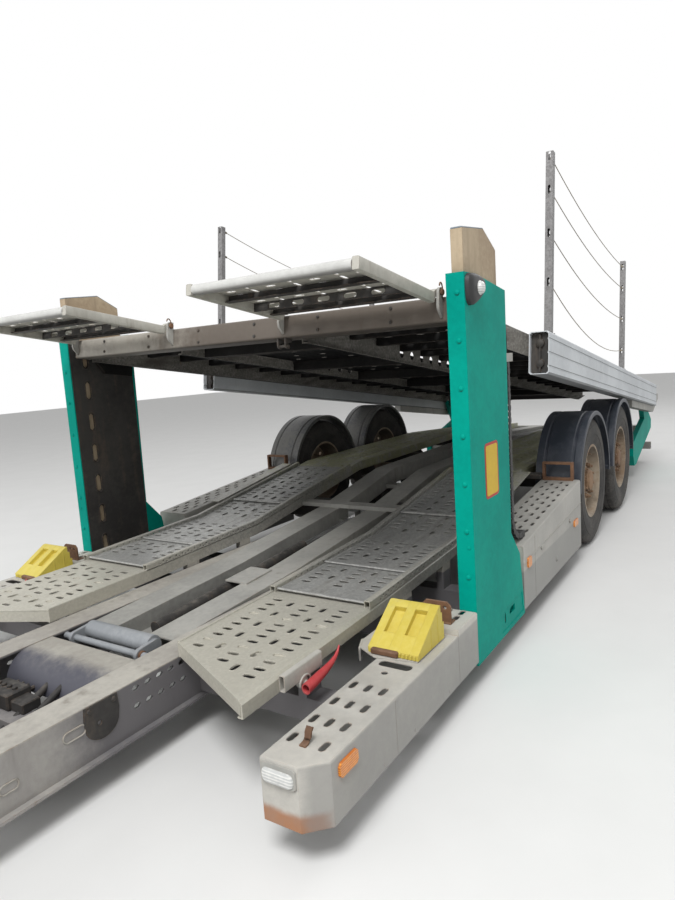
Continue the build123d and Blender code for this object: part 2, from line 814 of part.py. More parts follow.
# Wheels: tyre and dished steel rim with hand holes and a hub cap, turning on the axle's stub
tyre_half = tyre_width / 2
tread_half = tyre_half - 20
bead_half = tyre_half - 24
bulge_r = wheel_r - 68
flange_half = bead_half + 10
flange_r = rim_r + 10
bead_top_r = flange_r + 2
for axle_x, row in zip(axle_xs, ("front", "rear")):
    for side, flank_name in ((1, "left"), (-1, "right")):
        turn = Axis((axle_x, 0, wheel_r), (0, 1, 0))
        half_section = Plane(origin=(axle_x, side * wheel_y, wheel_r), x_dir=(0, side, 0), z_dir=(side, 0, 0))
        with BuildPart() as tyre:
            with BuildSketch(half_section):
                Polygon(
                    (-bead_half, rim_r),
                    (-bead_half, bead_top_r),
                    (-tyre_half, bulge_r),
                    (-tread_half, wheel_r),
                    (tread_half, wheel_r),
                    (tyre_half, bulge_r),
                    (bead_half, bead_top_r),
                    (bead_half, rim_r),
                    align=None,
                )
            revolve(axis=turn)
        save(tyre, "tyre_" + row + "_" + flank_name)
        with BuildPart() as rim:
            with BuildSketch(half_section):
                Polygon(
                    (-flange_half, flange_r),
                    (-flange_half + sheet, flange_r),
                    (-flange_half + sheet, rim_r - seat_gap),
                    (flange_half - sheet, rim_r - seat_gap),
                    (flange_half - sheet, flange_r),
                    (flange_half, flange_r),
                    (flange_half, rim_r - plate),
                    (web_y, rim_r - rim_drop),
                    (web_y, disc_r + plate),
                    (disc_face_y, disc_r),
                    (disc_face_y, hub_cap_r),
                    (hub_cap_y, hub_cap_r - plate),
                    (hub_cap_y, 0),
                    (stub_end + 1, 0),
                    (stub_end + 1, stub_r + seat_gap),
                    (disc_back_y, stub_r + seat_gap),
                    (disc_back_y, disc_r - plate),
                    (web_y - disc_sheet, disc_r),
                    (web_y - disc_sheet, rim_r - rim_drop),
                    (-flange_half, rim_r - plate),
                    align=None,
                )
            revolve(axis=turn)
            with BuildSketch(flank(side, wheel_y - tyre_half, wheel_y + tyre_half)):
                with Locations((axle_x, wheel_r)):
                    with PolarLocations(hand_ring_r, hand_holes):
                        Circle(hand_hole_r)
            extrude(amount=-tyre_width, mode=Mode.SUBTRACT)
        save(rim, "rim_" + row + "_" + flank_name)

# Mudguards with the stays that carry them
guard_r = wheel_r + mudguard_gap + mudguard_wall
stay_reach = mudguard_inner_y + stay_overlap
with BuildPart() as mudguards:
    for side in (1, -1):
        with BuildSketch(flank(side, mudguard_inner_y, half_width)):
            for axle_x in axle_xs:
                with Locations((axle_x, wheel_r)):
                    Circle(guard_r)
        extrude(amount=mudguard_inner_y - half_width)
        with BuildSketch(flank(side, track_outer_y, stay_reach)):
            with Locations(
                (axle_xs[0] + guard_r - stay_inset, stay_z),
                ((axle_xs[0] + axle_xs[1]) / 2, stay_z),
                (axle_xs[1] - guard_r + stay_inset, stay_z),
            ):
                Rectangle(stay_length, stay_height)
        extrude(amount=track_outer_y - stay_reach)
    with BuildSketch(side_plane(-half_width - 1)):
        for axle_x in axle_xs:
            with Locations((axle_x, wheel_r)):
                Circle(guard_r - mudguard_wall)
        with Locations(((axle_xs[0] + axle_xs[1]) / 2, wheel_r)):
            Rectangle(4 * guard_r, 2 * guard_r, align=(Align.CENTER, Align.MAX))
    extrude(amount=-2 * (half_width + 1), mode=Mode.SUBTRACT)
save(mudguards, "mudguards")

# Tail: beam at the back, tube under the arms, and underrun bar with its drops
arm_inner_y = half_width - 175
tail_beam_x = tail_x + tail_lamp_depth
# columns: rear face x, length, low z, high z, reach to the side
tail_tubes = [
    (tail_beam_x, 100, 330, 430, arm_inner_y),
    (tail_x + 1210, 80, 290, 386, arm_inner_y),
    (tail_beam_x, 60, 150, 230, arm_inner_y + 50),
]
underrun_drop_y = 480
underrun_drop_width = 40
with BuildPart() as tail_frame:
    for x, length, low, high, reach in tail_tubes:
        with BuildSketch(side_plane(-reach)):
            with Locations((x + length / 2, (low + high) / 2)):
                Rectangle(length, high - low)
                Rectangle(length - 2 * spine_wall, high - low - 2 * spine_wall, mode=Mode.SUBTRACT)
        extrude(amount=-2 * reach)
    low = tail_tubes[2][3]
    high = tail_tubes[0][2]
    for side in (1, -1):
        with BuildSketch(flank(side, underrun_drop_y, underrun_drop_y + underrun_drop_width)):
            with Locations((tail_beam_x + tail_tubes[2][1] / 2, (low + high) / 2)):
                Rectangle(tail_tubes[2][1], high - low)
        extrude(amount=-underrun_drop_width)
save(tail_frame, "tail_frame")

tail_lamp_y = arm_inner_y - tail_lamp_size[0] / 2 - plate
tail_lamp_z = (tail_tubes[0][2] + tail_tubes[0][3]) / 2
with BuildPart() as tail_lamps:
    for side in (1, -1):
        with BuildSketch(across_plane(tail_x)):
            with Locations((side * tail_lamp_y, tail_lamp_z)):
                Rectangle(*tail_lamp_size)
        extrude(amount=tail_lamp_depth)
    chamfer(tail_lamps.edges().filter_by(Axis.X), plate)
save(tail_lamps, "tail_lamps")

# Rear arms that carry the upper deck's pivot
pivot = deck_point(pivot_reach, -pivot_drop)
boss_r = pivot_r + 20
arm_plate = 50
with BuildPart() as rear_arms:
    for side in (1, -1):
        with BuildSketch(flank(side, arm_inner_y, arm_inner_y + arm_plate)):
            with BuildLine():
                Polyline(
                    (tail_x + 1330, 250),
                    (tail_x + 1260, 140),
                    (tail_x + 1150, 140),
                    (tail_x + 60, 400),
                    (tail_x + 50, 500),
                    (pivot.X - boss_r, pivot.Z),
                )
                ThreePointArc(
                    (pivot.X - boss_r, pivot.Z),
                    (pivot.X, pivot.Z + boss_r),
                    (pivot.X + boss_r, pivot.Z),
                )
                Polyline(
                    (pivot.X + boss_r, pivot.Z),
                    (tail_x + 570, 560),
                    (tail_x + 1330, 380),
                    (tail_x + 1330, 250),
                )
            make_face()
        extrude(amount=-arm_plate)
        with BuildSketch(side_plane(side * (arm_inner_y + arm_plate / 2))):
            with Locations((pivot.X, pivot.Z)):
                Circle(pivot_r)
        extrude(amount=side * (arm_plate / 2 + pivot_plate + 2 * plate))
save(rear_arms, "rear_arms")

# Drawbar nose and towing eye
nose_low_z = 150
nose_height = 140
nose_half = 95
nose_run = 540
crotch_run = 420
crotch_half = 50
eye_r = 65
eye_bore_r = 25
eye_z = nose_low_z + nose_height / 2
eye_height = 45
eye_x = post_x + nose_reach - eye_r
nose_end_x = eye_x - eye_r - plate
with BuildPart() as drawbar_nose:
    with BuildSketch(Plane.XY.offset(nose_low_z)):
        Polygon(
            (rail_front_x, rail_outer_y + rail_lip),
            (rail_front_x + nose_run, nose_half),
            (nose_end_x, nose_half),
            (nose_end_x, -nose_half),
            (rail_front_x + nose_run, -nose_half),
            (rail_front_x, -rail_outer_y - rail_lip),
            (rail_front_x, -rail_inner_y - rail_lip),
            (rail_front_x + crotch_run, -crotch_half),
            (rail_front_x + crotch_run, crotch_half),
            (rail_front_x, rail_inner_y + rail_lip),
            align=None,
        )
    extrude(amount=nose_height)
save(drawbar_nose, "drawbar_nose")

with BuildPart() as towing_eye:
    with BuildSketch(Plane.XY.offset(eye_z - eye_height / 2)):
        with Locations((eye_x, 0)):
            Circle(eye_r)
        with Locations((nose_end_x, 0)):
            Rectangle(eye_r, eye_r, align=(Align.MIN, Align.CENTER))
        with Locations((eye_x, 0)):
            Circle(eye_bore_r, mode=Mode.SUBTRACT)
    extrude(amount=eye_height)
save(towing_eye, "towing_eye")

# Jack leg in front of the drawbar's first cross member
jack_r = 45
jack_x = rail_front_x + jack_r
jack_low_z = 70
jack_height = 520
jack_foot_r = 95
jack_foot = 14
lug_low_z = 145
lug_height = 80
with BuildPart() as jack_tube:
    with BuildSketch(Plane.XY.offset(jack_low_z)):
        with Locations((jack_x, 0)):
            Circle(jack_r)
    extrude(amount=jack_height)
    with BuildSketch(Plane.XY.offset(lug_low_z)):
        with Locations((rail_front_x, 0)):
            Rectangle(jack_r, lug_height, align=(Align.MIN, Align.CENTER))
    extrude(amount=lug_height)
save(jack_tube, "jack_tube")

with BuildPart() as jack_leg:
    with BuildSketch(Plane.XY):
        with Locations((jack_x, 0)):
            Circle(jack_foot_r)
    extrude(amount=jack_foot)
    with BuildSketch(Plane.XY.offset(jack_foot)):
        with Locations((jack_x, 0)):
            Circle(jack_r - plate)
    extrude(amount=jack_low_z - jack_foot)
save(jack_leg, "jack_leg")

# Roller before the spine's nose, on two arms
roller_r = 38
roller_x = spine_line[0][0] + roller_r + 2 * plate
roller_z = 300
roller_arm_x = post_x + 828
roller_arm_z = 292
roller_arm_r = 26
roller_arm = 18
roller_half = 195
axle_pin_r = 14
with BuildPart() as front_roller:
    with BuildSketch(side_plane(-roller_half)):
        with Locations((roller_x, roller_z)):
            Circle(roller_r)
    extrude(amount=-2 * roller_half)
    for side in (1, -1):
        with BuildSketch(flank(side, roller_half, roller_half + roller_arm)):
            with Locations((roller_x, roller_z), (roller_arm_x, roller_arm_z)):
                Circle(roller_arm_r)
            Polygon(
                (roller_x, roller_z + roller_arm_r),
                (roller_arm_x, roller_arm_z + roller_arm_r),
                (roller_arm_x, roller_arm_z - roller_arm_r),
                (roller_x, roller_z - roller_arm_r),
                align=None,
            )
        extrude(amount=-roller_arm)
    with BuildSketch(side_plane(-rail_inner_y)):
        with Locations((roller_arm_x, roller_arm_z)):
            Circle(axle_pin_r)
    extrude(amount=-2 * rail_inner_y)
save(front_roller, "front_roller")

# Bowed cross member that bridges the drawbar rails before the roller
bow_rear_x = post_x + 895
bow_start_x = post_x + 990
bow_crown = (post_x + 1075, 280)
bow_tip = (post_x + 1110, 205)
bow_top_z = 312
with BuildPart() as bowed_plate:
    with BuildSketch(side_plane(-rail_inner_y)):
        with BuildLine():
            Line((bow_rear_x, bow_top_z), (bow_start_x, bow_top_z))
            ThreePointArc((bow_start_x, bow_top_z), bow_crown, bow_tip)
            Line(bow_tip, (bow_tip[0] - plate, bow_tip[1]))
            ThreePointArc(
                (bow_tip[0] - plate, bow_tip[1]),
                (bow_crown[0] - plate, bow_crown[1] - plate),
                (bow_start_x, bow_top_z - plate),
            )
            Polyline(
                (bow_start_x, bow_top_z - plate),
                (bow_rear_x, bow_top_z - plate),
                (bow_rear_x, bow_top_z),
            )
        make_face()
    extrude(amount=-2 * rail_inner_y)
save(bowed_plate, "bowed_plate")

# Hydraulic cylinder lying in the spine's slot, its ends on two of the rungs
barrel_r = 30
rod_r = 14
rod_depth = 44
foot_half = 25
barrel_foot = 40
rod_foot = 58


def slot_point(x):
    return Vector(x, 0, line_z(spine_line, x) - rod_depth)


def rung_top(x):
    return line_z(spine_line, x) - spine_height + slot_rail


barrel_start = slot_point(post_x + 570)
barrel_end = slot_point(post_x - 560)
barrel_way = barrel_end - barrel_start
rod_end = barrel_end + barrel_way.normalized() * 560
with BuildPart() as cylinder_barrel:
    with BuildSketch(Plane(origin=barrel_start, z_dir=barrel_way)):
        Circle(barrel_r)
    extrude(amount=barrel_way.length)
    x = slot_rail_xs[0]
    with BuildSketch(Plane.XY.offset(rung_top(x))):
        with Locations((x + slot_rail_length / 2, 0)):
            Rectangle(slot_rail_length, 2 * foot_half)
    extrude(amount=barrel_foot)
save(cylinder_barrel, "cylinder_barrel")

with BuildPart() as cylinder_rod:
    with BuildSketch(Plane(origin=barrel_end, z_dir=barrel_way)):
        Circle(rod_r)
    extrude(amount=(rod_end - barrel_end).length)
    x = slot_rail_xs[1]
    with BuildSketch(Plane.XY.offset(rung_top(x))):
        with Locations((x, 0)):
            Rectangle(rod_end.X + plate - x, 2 * foot_half, align=(Align.MIN, Align.CENTER))
    extrude(amount=rod_foot)
save(cylinder_rod, "cylinder_rod")

# Valve block between the drawbar rails, on its carrier plate
valve_plate = 12
valve_height = 110
with BuildPart() as valve_block:
    with BuildSketch(Plane.XY.offset(rail_bottom_z + plate)):
        with Locations((post_x + 1420, -60)):
            Rectangle(300, 2 * rail_inner_y)
    extrude(amount=valve_plate)
    with BuildSketch(Plane.XY.offset(rail_bottom_z + plate + valve_plate)):
        with Locations((post_x + 1400, -100)):
            Rectangle(150, 190)
        with Locations((post_x + 1480, 90)):
            Rectangle(90, 80)
    extrude(amount=valve_height)
save(valve_block, "valve_block")

# Upper deck: two trays with deep webs, the inner webs holed between the posts and the axles
deck_start = front_beam_length
deck_tail_run = 300
web_hole_r = 26
web_hole_pitch = 140
web_holes = 6
web_hole_middle = 1469
with BuildPart() as deck_tracks:
    for side in (1, -1):
        with BuildSketch(deck_flank(side, deck_track_inner_y, deck_track_outer_y)):
            Polygon(
                (-deck_start, 0),
                (-deck_length, 0),
                (-deck_length, -sheet),
                (-deck_start, -sheet),
                align=None,
            )
        extrude(amount=deck_track_inner_y - deck_track_outer_y)
        for inner, holed in ((deck_track_inner_y, True), (deck_track_outer_y - sheet, False)):
            with BuildSketch(deck_flank(side, inner, inner + sheet)):
                Polygon(
                    (-deck_start, 0),
                    (-deck_length, 0),
                    (-deck_length, -deck_web / 2),
                    (-deck_length + deck_tail_run, -deck_web),
                    (-deck_start, -deck_web),
                    align=None,
                )
                if holed:
                    with Locations((-web_hole_middle, -deck_web / 2)):
                        with GridLocations(web_hole_pitch, 1, web_holes, 1):
                            RegularPolygon(web_hole_r, 8, mode=Mode.SUBTRACT)
            extrude(amount=-sheet)
save(deck_tracks, "deck_tracks")

# Cross members between the trays, evenly spread
deck_cross_count = 7
deck_cross_first = 330
deck_cross_last = deck_length - 560
deck_cross_depth = 60
with BuildPart() as deck_cross_members:
    for step in range(deck_cross_count):
        back = deck_cross_first + (deck_cross_last - deck_cross_first) * step / (deck_cross_count - 1)
        with BuildSketch(deck_across_plane(back)):
            with Locations((0, -deck_web + deck_cross_depth / 2)):
                Rectangle(2 * deck_track_inner_y, deck_cross_depth)
        extrude(amount=deck_cross_depth)
save(deck_cross_members, "deck_cross_members")

# Front beam across both trays
with BuildPart() as deck_front_beam:
    with BuildSketch(deck_flank(-1, 0, front_beam_half)):
        with Locations((-front_beam_length / 2, -front_beam_depth / 2)):
            Rectangle(front_beam_length, front_beam_depth)
            Rectangle(front_beam_length - 2 * sheet, front_beam_depth - 2 * sheet, mode=Mode.SUBTRACT)
    extrude(amount=-2 * front_beam_half)
save(deck_front_beam, "deck_front_beam")

# Carriages that run up the posts' guide plates
carriage_outer_y = post_inner_y - running_gap
carriage_drop = 60
with BuildPart() as deck_carriages:
    for side in (1, -1):
        with BuildSketch(deck_flank(side, deck_track_outer_y, carriage_outer_y)):
            Polygon(
                (-deck_start - 40, -plate),
                (-deck_start - 300, -plate),
                (-deck_start - 300, -deck_web - carriage_drop),
                (-deck_start - 100, -deck_web - carriage_drop),
                (-deck_start - 40, -deck_web),
                align=None,
            )
        extrude(amount=deck_track_outer_y - carriage_outer_y)
save(deck_carriages, "deck_carriages")

# Hollow side beams behind the posts
side_beam_height = side_beam_rise + side_beam_fall
side_beam_corner = 8
with BuildPart() as side_beams:
    for side in (1, -1):
        with BuildSketch(deck_across_plane(side_beam_end)):
            middle_y = side * (half_width - side_beam_width / 2)
            with Locations((middle_y, (side_beam_rise - side_beam_fall) / 2)):
                Rectangle(side_beam_width, side_beam_height)
        extrude(amount=side_beam_end - side_beam_start)
    chamfer(side_beams.edges().filter_by(lambda edge: edge.length > side_beam_end / 2), side_beam_corner)
    ends = side_beams.faces().sort_by(SortBy.AREA)[:4]
    offset(amount=-sheet, openings=ends)
save(side_beams, "side_beams")

# Edge rails below the side beams' tails
edge_start = deck_length - 1780
edge_depth = 62
edge_width = 70
with BuildPart() as deck_edge_rails:
    for side in (1, -1):
        with BuildSketch(deck_flank(side, deck_track_outer_y, deck_track_outer_y + edge_width)):
            Polygon(
                (-edge_start, -side_beam_fall),
                (-side_beam_end, -side_beam_fall),
                (-side_beam_end, -deck_web / 2),
                (-deck_length, -deck_web / 2),
                (-deck_length, -deck_web),
                (-side_beam_end - edge_depth, -side_beam_fall - edge_depth),
                (-edge_start, -side_beam_fall - edge_depth),
                align=None,
            )
        extrude(amount=-edge_width)
save(deck_edge_rails, "deck_edge_rails")

# Pivot brackets under the deck's tail, turning on the rear arms' pins
bracket_outer_y = arm_inner_y - running_gap
bracket_run = 110
with BuildPart() as pivot_brackets:
    for side in (1, -1):
        with BuildSketch(deck_flank(side, bracket_outer_y - pivot_plate, bracket_outer_y)):
            with Locations((-pivot_reach, -pivot_drop)):
                Circle(boss_r)
            Polygon(
                (-pivot_reach - bracket_run, -sheet),
                (-pivot_reach + bracket_run, -sheet),
                (-pivot_reach + boss_r, -pivot_drop),
                (-pivot_reach - boss_r, -pivot_drop),
                align=None,
            )
            with Locations((-pivot_reach, -pivot_drop)):
                Circle(pivot_r + seat_gap, mode=Mode.SUBTRACT)
        extrude(amount=-pivot_plate)
save(pivot_brackets, "pivot_brackets")

# Stanchions that carry the guard ropes
with BuildPart() as stanchions:
    for back, height in stanchion_table:
        for side in (1, -1):
            with BuildSketch(deck_top_plane(side_beam_rise)):
                with Locations((-back, side * (half_width - stanchion_inset))):
                    Rectangle(stanchion_size, stanchion_size)
                    Rectangle(
                        stanchion_size - 2 * stanchion_wall,
                        stanchion_size - 2 * stanchion_wall,
                        mode=Mode.SUBTRACT,
                    )
            extrude(amount=height)
save(stanchions, "stanchions")

# Loading flaps, pinned in ears on the front beam
ear_plate = 12
ear_gap = 4
ear_r = 20
hinge_ahead = 20
hinge_up = 12
flap_wall = 28
flap_frame = 60
flap_start = 22
knuckle_r = 16
hinge_point = deck_point(-hinge_ahead, hinge_up)
flap_slope = deck_slope + radians(flap_rise)
flap_dir = Vector(cos(flap_slope), 0, sin(flap_slope))
flap_up = Vector(-sin(flap_slope), 0, cos(flap_slope))
with BuildPart() as flap_ears:
    for side in (1, -1):
        for inner, pin_way in ((flap_inner_y - ear_gap - ear_plate, 1), (flap_outer_y + ear_gap, -1)):
            with BuildSketch(deck_flank(side, inner, inner + ear_plate)):
                with Locations((hinge_ahead, hinge_up)):
                    Circle(ear_r)
                Polygon(
                    (0, hinge_up + ear_r),
                    (hinge_ahead, hinge_up + ear_r),
                    (hinge_ahead + ear_r, hinge_up),
                    (hinge_ahead + ear_r, -3 * ear_r),
                    (0, -4.5 * ear_r),
                    align=None,
                )
            extrude(amount=-ear_plate)
            pin_start = hinge_point + Vector(0, side * (inner + ear_plate / 2), 0)
            with BuildSketch(Plane(origin=pin_start, z_dir=(0, side * pin_way, 0))):
                Circle(flap_pin_r)
            extrude(amount=ear_plate / 2 + ear_gap + flap_wall - 3)
save(flap_ears, "flap_ears")

flap_width = flap_outer_y - flap_inner_y
for side, name in ((1, "flap_left"), (-1, "flap_right")):
    with BuildPart() as flap:
        right_y = flap_inner_y if side > 0 else -flap_outer_y
        flap_side = Plane(origin=hinge_point + Vector(0, right_y, 0), x_dir=flap_dir, z_dir=(0, -1, 0))
        with BuildSketch(flap_side):
            Polygon(
                (flap_start, 0),
                (flap_length, 0),
                (flap_length, -flap_depth),
                (flap_start, -flap_depth),
                align=None,
            )
        extrude(amount=-flap_width)
        # the two side rails reach back to the hinge
        for shift in (0, flap_width - flap_wall):
            with BuildSketch(flap_side.offset(-shift)):
                Circle(knuckle_r)
                Polygon((0, knuckle_r), (flap_wall, 0), (flap_wall, -flap_depth), (0, -knuckle_r), align=None)
                Circle(flap_pin_r + seat_gap, mode=Mode.SUBTRACT)
            extrude(amount=-flap_wall)
        # open underneath between the rails, its sheet punched
        flap_top = Plane(origin=hinge_point, x_dir=flap_dir, z_dir=flap_up)
        middle_x = (flap_length + flap_start) / 2
        middle_y = side * (flap_inner_y + flap_outer_y) / 2
        with BuildSketch(flap_top.offset(-sheet)):
            with Locations((middle_x, middle_y)):
                Rectangle(flap_length - flap_start - 2 * flap_frame, flap_width - 2 * flap_frame)
        extrude(amount=-flap_depth, mode=Mode.SUBTRACT)
        with BuildSketch(flap_top.offset(1)):
            with Locations((middle_x, middle_y)):
                with GridLocations(flap_slot_apart[0], flap_slot_apart[1], *flap_slot_grid):
                    Polygon(*slot_outline(slot_length, slot_width), rotation=90, align=None)
        extrude(amount=-sheet - 2, mode=Mode.SUBTRACT)
    save(flap, name)

# Rusty plates on the front boxes: under the chocks, the lugs behind them, and the stop ahead
chock_plate_top = box_top_z + sheet
with BuildPart() as chock_lugs:
    for side in (1, -1):
        with BuildSketch(Plane.XY.offset(box_top_z)):
            Polygon(
                (post_x + 235, side * (half_width - 40)),
                (post_x + 490, side * (half_width - 40)),
                (post_x + 490, side * (half_width - 185)),
                (post_x + 550, side * (half_width - 203)),
                (post_x + 458, side * (half_width - 283)),
                (post_x + 380, side * (half_width - 320)),
                (post_x + 235, side * (half_width - 320)),
                align=None,
            )
        extrude(amount=sheet)
        lug_y = side * (box_inner_y + lug_inset)
        with BuildSketch(Plane.XY.offset(box_step_z)):
            with Locations((box_step_x - 60, lug_y)):
                Rectangle(lug_foot, 2 * lug_half)
        extrude(amount=plate)
        with BuildSketch(Plane.XY.offset(box_step_z + plate)):
            with Locations((box_step_x - 40, lug_y)):
                Rectangle(plate, 2 * lug_half)
        extrude(amount=lug_rise)
        stop_y = half_width - box_lug_place[1]
        with BuildSketch(flank(side, stop_y - plate, stop_y + plate)):
            with Locations((box_lug_place[0], box_top_z)):
                Polygon((-30, 0), (26, 0), (26, 12), (-8, 14), (-8, 36), (-30, 36), align=None)
        extrude(amount=-2 * plate)
save(chock_lugs, "chock_lugs")

# Wheel chocks: yellow moulded wedges with pressed recesses in their slopes
chock_x = post_x + 245
chock_length = 225
chock_inner_y = box_inner_y - 47
chock_width = 205
chock_height = 136
chock_lip = 20
chock_back = 32
recess_depth = 12
recess_size = (110, 52)
chock_slope = atan((chock_height - chock_lip) / (chock_length - chock_back))
with BuildPart() as wheel_chocks:
    for side in (1, -1):
        with BuildSketch(flank(side, chock_inner_y, chock_inner_y + chock_width)):
            Polygon(
                (chock_x, chock_plate_top),
                (chock_x + chock_length, chock_plate_top),
                (chock_x + chock_length, chock_plate_top + chock_lip),
                (chock_x + chock_back, chock_plate_top + chock_height),
                (chock_x + plate, chock_plate_top + chock_height - plate),
                align=None,
            )
        extrude(amount=-chock_width)
        slope_middle = Vector(
            chock_x + (chock_length + chock_back) / 2,
            side * (chock_inner_y + chock_width / 2),
            chock_plate_top + (chock_height + chock_lip) / 2,
        )
        slope_dir = (-cos(chock_slope), 0, sin(chock_slope))
        slope_out = (sin(chock_slope), 0, cos(chock_slope))
        with BuildSketch(Plane(origin=slope_middle, x_dir=slope_dir, z_dir=slope_out)):
            with GridLocations(1, chock_width / 2, 1, 2):
                Rectangle(*recess_size)
        extrude(amount=-recess_depth, mode=Mode.SUBTRACT)
save(wheel_chocks, "wheel_chocks")

# Lamps and reflectors
lamp_proud = 8
lamp_corner = 9
nose_lamp_z = box_top_z - 42
nose_lamp_size = (half_width - box_chamfer - box_inner_y - 14, 44)
post_lamp_x = post_x - 148
post_lamp_z = 1643
post_lamp_r = 24
with BuildPart() as marker_lamps:
    for side in (1, -1):
        with BuildSketch(across_plane(box_front_x)):
            with Locations((side * (box_inner_y + half_width - box_chamfer) / 2, nose_lamp_z)):
                Rectangle(*nose_lamp_size)
        extrude(amount=lamp_proud)
    chamfer(marker_lamps.edges().filter_by(Axis.X), lamp_corner)
    for side in (1, -1):
        with BuildSketch(flank(side, half_width, half_width + lamp_proud)):
            with Locations((post_lamp_x, post_lamp_z)):
                Circle(post_lamp_r)
        extrude(amount=-lamp_proud)
save(marker_lamps, "marker_lamps")

# columns: station x, centre z, length, height
amber_table = [
    (post_x + 1010, 262, 96, 44),
    (post_x - 715, 335, 60, 50),
    (rear_box_end_x + 150, 300, 96, 40),
]
with BuildPart() as side_lamps:
    for x, z, length, height in amber_table:
        for side in (1, -1):
            with BuildSketch(flank(side, half_width, half_width + lamp_proud)):
                with Locations((x, z)):
                    Rectangle(length, height)
            extrude(amount=-lamp_proud)
    chamfer(side_lamps.edges().filter_by(Axis.Y), lamp_corner)
save(side_lamps, "side_lamps")

# Clamp sleeves on the outer flanges of the tracks' front ends, and their levers
clamp_x = post_x + 747
clamp_z = 342
clamp_size = (218, 60)
clamp_width = 25
lever_z = 300
lever_r = 20
lever_reach = 195
lever_inner_y = track_outer_y + clamp_width + 10
lever_width = 22
lever_pin_r = 13
with BuildPart() as track_clamps:
    for side in (1, -1):
        with BuildSketch(flank(side, track_outer_y, track_outer_y + clamp_width)):
            with Locations((clamp_x, clamp_z)):
                Rectangle(*clamp_size)
            with Locations((clamp_x, lever_z)):
                Circle(lever_pin_r + plate)
        extrude(amount=-clamp_width)
        with BuildSketch(flank(side, track_outer_y + clamp_width, lever_inner_y)):
            with Locations((clamp_x, lever_z)):
                Circle(lever_pin_r)
        extrude(amount=track_outer_y + clamp_width - lever_inner_y)
save(track_clamps, "track_clamps")

with BuildPart() as clamp_levers:
    for side in (1, -1):
        with BuildSketch(flank(side, lever_inner_y, lever_inner_y + lever_width)):
            with Locations((clamp_x, lever_z)):
                Circle(lever_r)
                Polygon(
                    (0, lever_r),
                    (-0.75 * lever_reach, 0.9 * lever_r),
                    (-lever_reach, 1.6 * lever_r),
                    (-lever_reach - 4, 0.7 * lever_r),
                    (-0.75 * lever_reach, -0.1 * lever_r),
                    (0, -lever_r),
                    align=None,
                )
        extrude(amount=-lever_width)
save(clamp_levers, "clamp_levers")

# Hanging hose chain behind the left post: links strung on a thinner band
chain_x = post_x - 600
chain_y = half_width - 68
chain_top_z = 1330
chain_width = 70
chain_depth = 30
chain_band = 14
chain_bend = 110
chain_foot = 60
chain_links = 18
link_share = 0.86
bracket_height = 40
bend_x = chain_x - chain_bend
foot_x = bend_x - chain_foot
bend_z = rear_box_top(bend_x) + chain_depth / 2 + 12


def post_rear(z):
    # the post's rear edge, which leans a little
    (xa, za), (xb, zb) = post_outline[3], post_outline[4]
    return xa + (xb - xa) * (z - za) / (zb - za)


with BuildPart() as chain_bracket:
    with BuildSketch(side_plane(chain_y - chain_width / 2)):
        Polygon(
            (post_rear(chain_top_z), chain_top_z),
            (chain_x - chain_foot, chain_top_z),
            (chain_x - chain_foot, chain_top_z + bracket_height),
            (post_rear(chain_top_z + bracket_height), chain_top_z + bracket_height),
            align=None,
        )
    extrude(amount=-chain_width)
save(chain_bracket, "chain_bracket")

with BuildPart() as hose_chain:
    with BuildLine() as chain_route:
        Line((chain_x, chain_y, chain_top_z), (chain_x, chain_y, bend_z + chain_bend))
        ThreePointArc(
            (chain_x, chain_y, bend_z + chain_bend),
            (
                bend_x + chain_bend * cos(radians(45)),
                chain_y,
                bend_z + chain_bend - chain_bend * sin(radians(45)),
            ),
            (bend_x, chain_y, bend_z),
        )
        Line((bend_x, chain_y, bend_z), (foot_x, chain_y, bend_z))
    route = chain_route.wires()[0]
    link_length = route.length / chain_links * link_share
    with BuildSketch(Plane(origin=route @ 0, x_dir=(0, 1, 0), z_dir=route % 0)):
        Rectangle(chain_width - plate, chain_band)
    sweep(path=route)
    for link in range(chain_links):
        share = (link + 0.5) / chain_links
        heading = route % share
        link_start = route @ share - heading * link_length / 2
        with BuildSketch(Plane(origin=link_start, x_dir=(0, 1, 0), z_dir=heading)):
            Rectangle(chain_width, chain_depth)
        extrude(amount=link_length)
    # foot that stands on the rear box
    with BuildSketch(side_plane(chain_y - chain_width / 2)):
        Polygon(
            (bend_x, rear_box_top(bend_x)),
            (foot_x, rear_box_top(foot_x)),
            (foot_x, bend_z),
            (bend_x, bend_z),
            align=None,
        )
    extrude(amount=-chain_width)
save(hose_chain, "hose_chain")
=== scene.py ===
import math

import bmesh
import bpy
from mathutils import Matrix, Vector
from mathutils.geometry import delaunay_2d_cdt


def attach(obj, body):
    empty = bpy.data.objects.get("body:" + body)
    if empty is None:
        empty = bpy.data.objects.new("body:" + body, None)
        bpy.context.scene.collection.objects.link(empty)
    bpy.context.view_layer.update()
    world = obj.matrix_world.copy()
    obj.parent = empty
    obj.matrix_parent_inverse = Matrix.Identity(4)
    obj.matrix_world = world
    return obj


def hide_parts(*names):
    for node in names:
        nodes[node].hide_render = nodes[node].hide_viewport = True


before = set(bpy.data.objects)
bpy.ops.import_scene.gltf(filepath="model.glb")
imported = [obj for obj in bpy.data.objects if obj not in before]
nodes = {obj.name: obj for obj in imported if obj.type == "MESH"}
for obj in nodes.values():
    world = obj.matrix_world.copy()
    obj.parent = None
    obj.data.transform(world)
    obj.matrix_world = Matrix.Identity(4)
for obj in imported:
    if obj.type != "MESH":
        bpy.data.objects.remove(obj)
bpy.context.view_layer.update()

scene = bpy.context.scene
print("frame loaded:", len(nodes), "nodes")

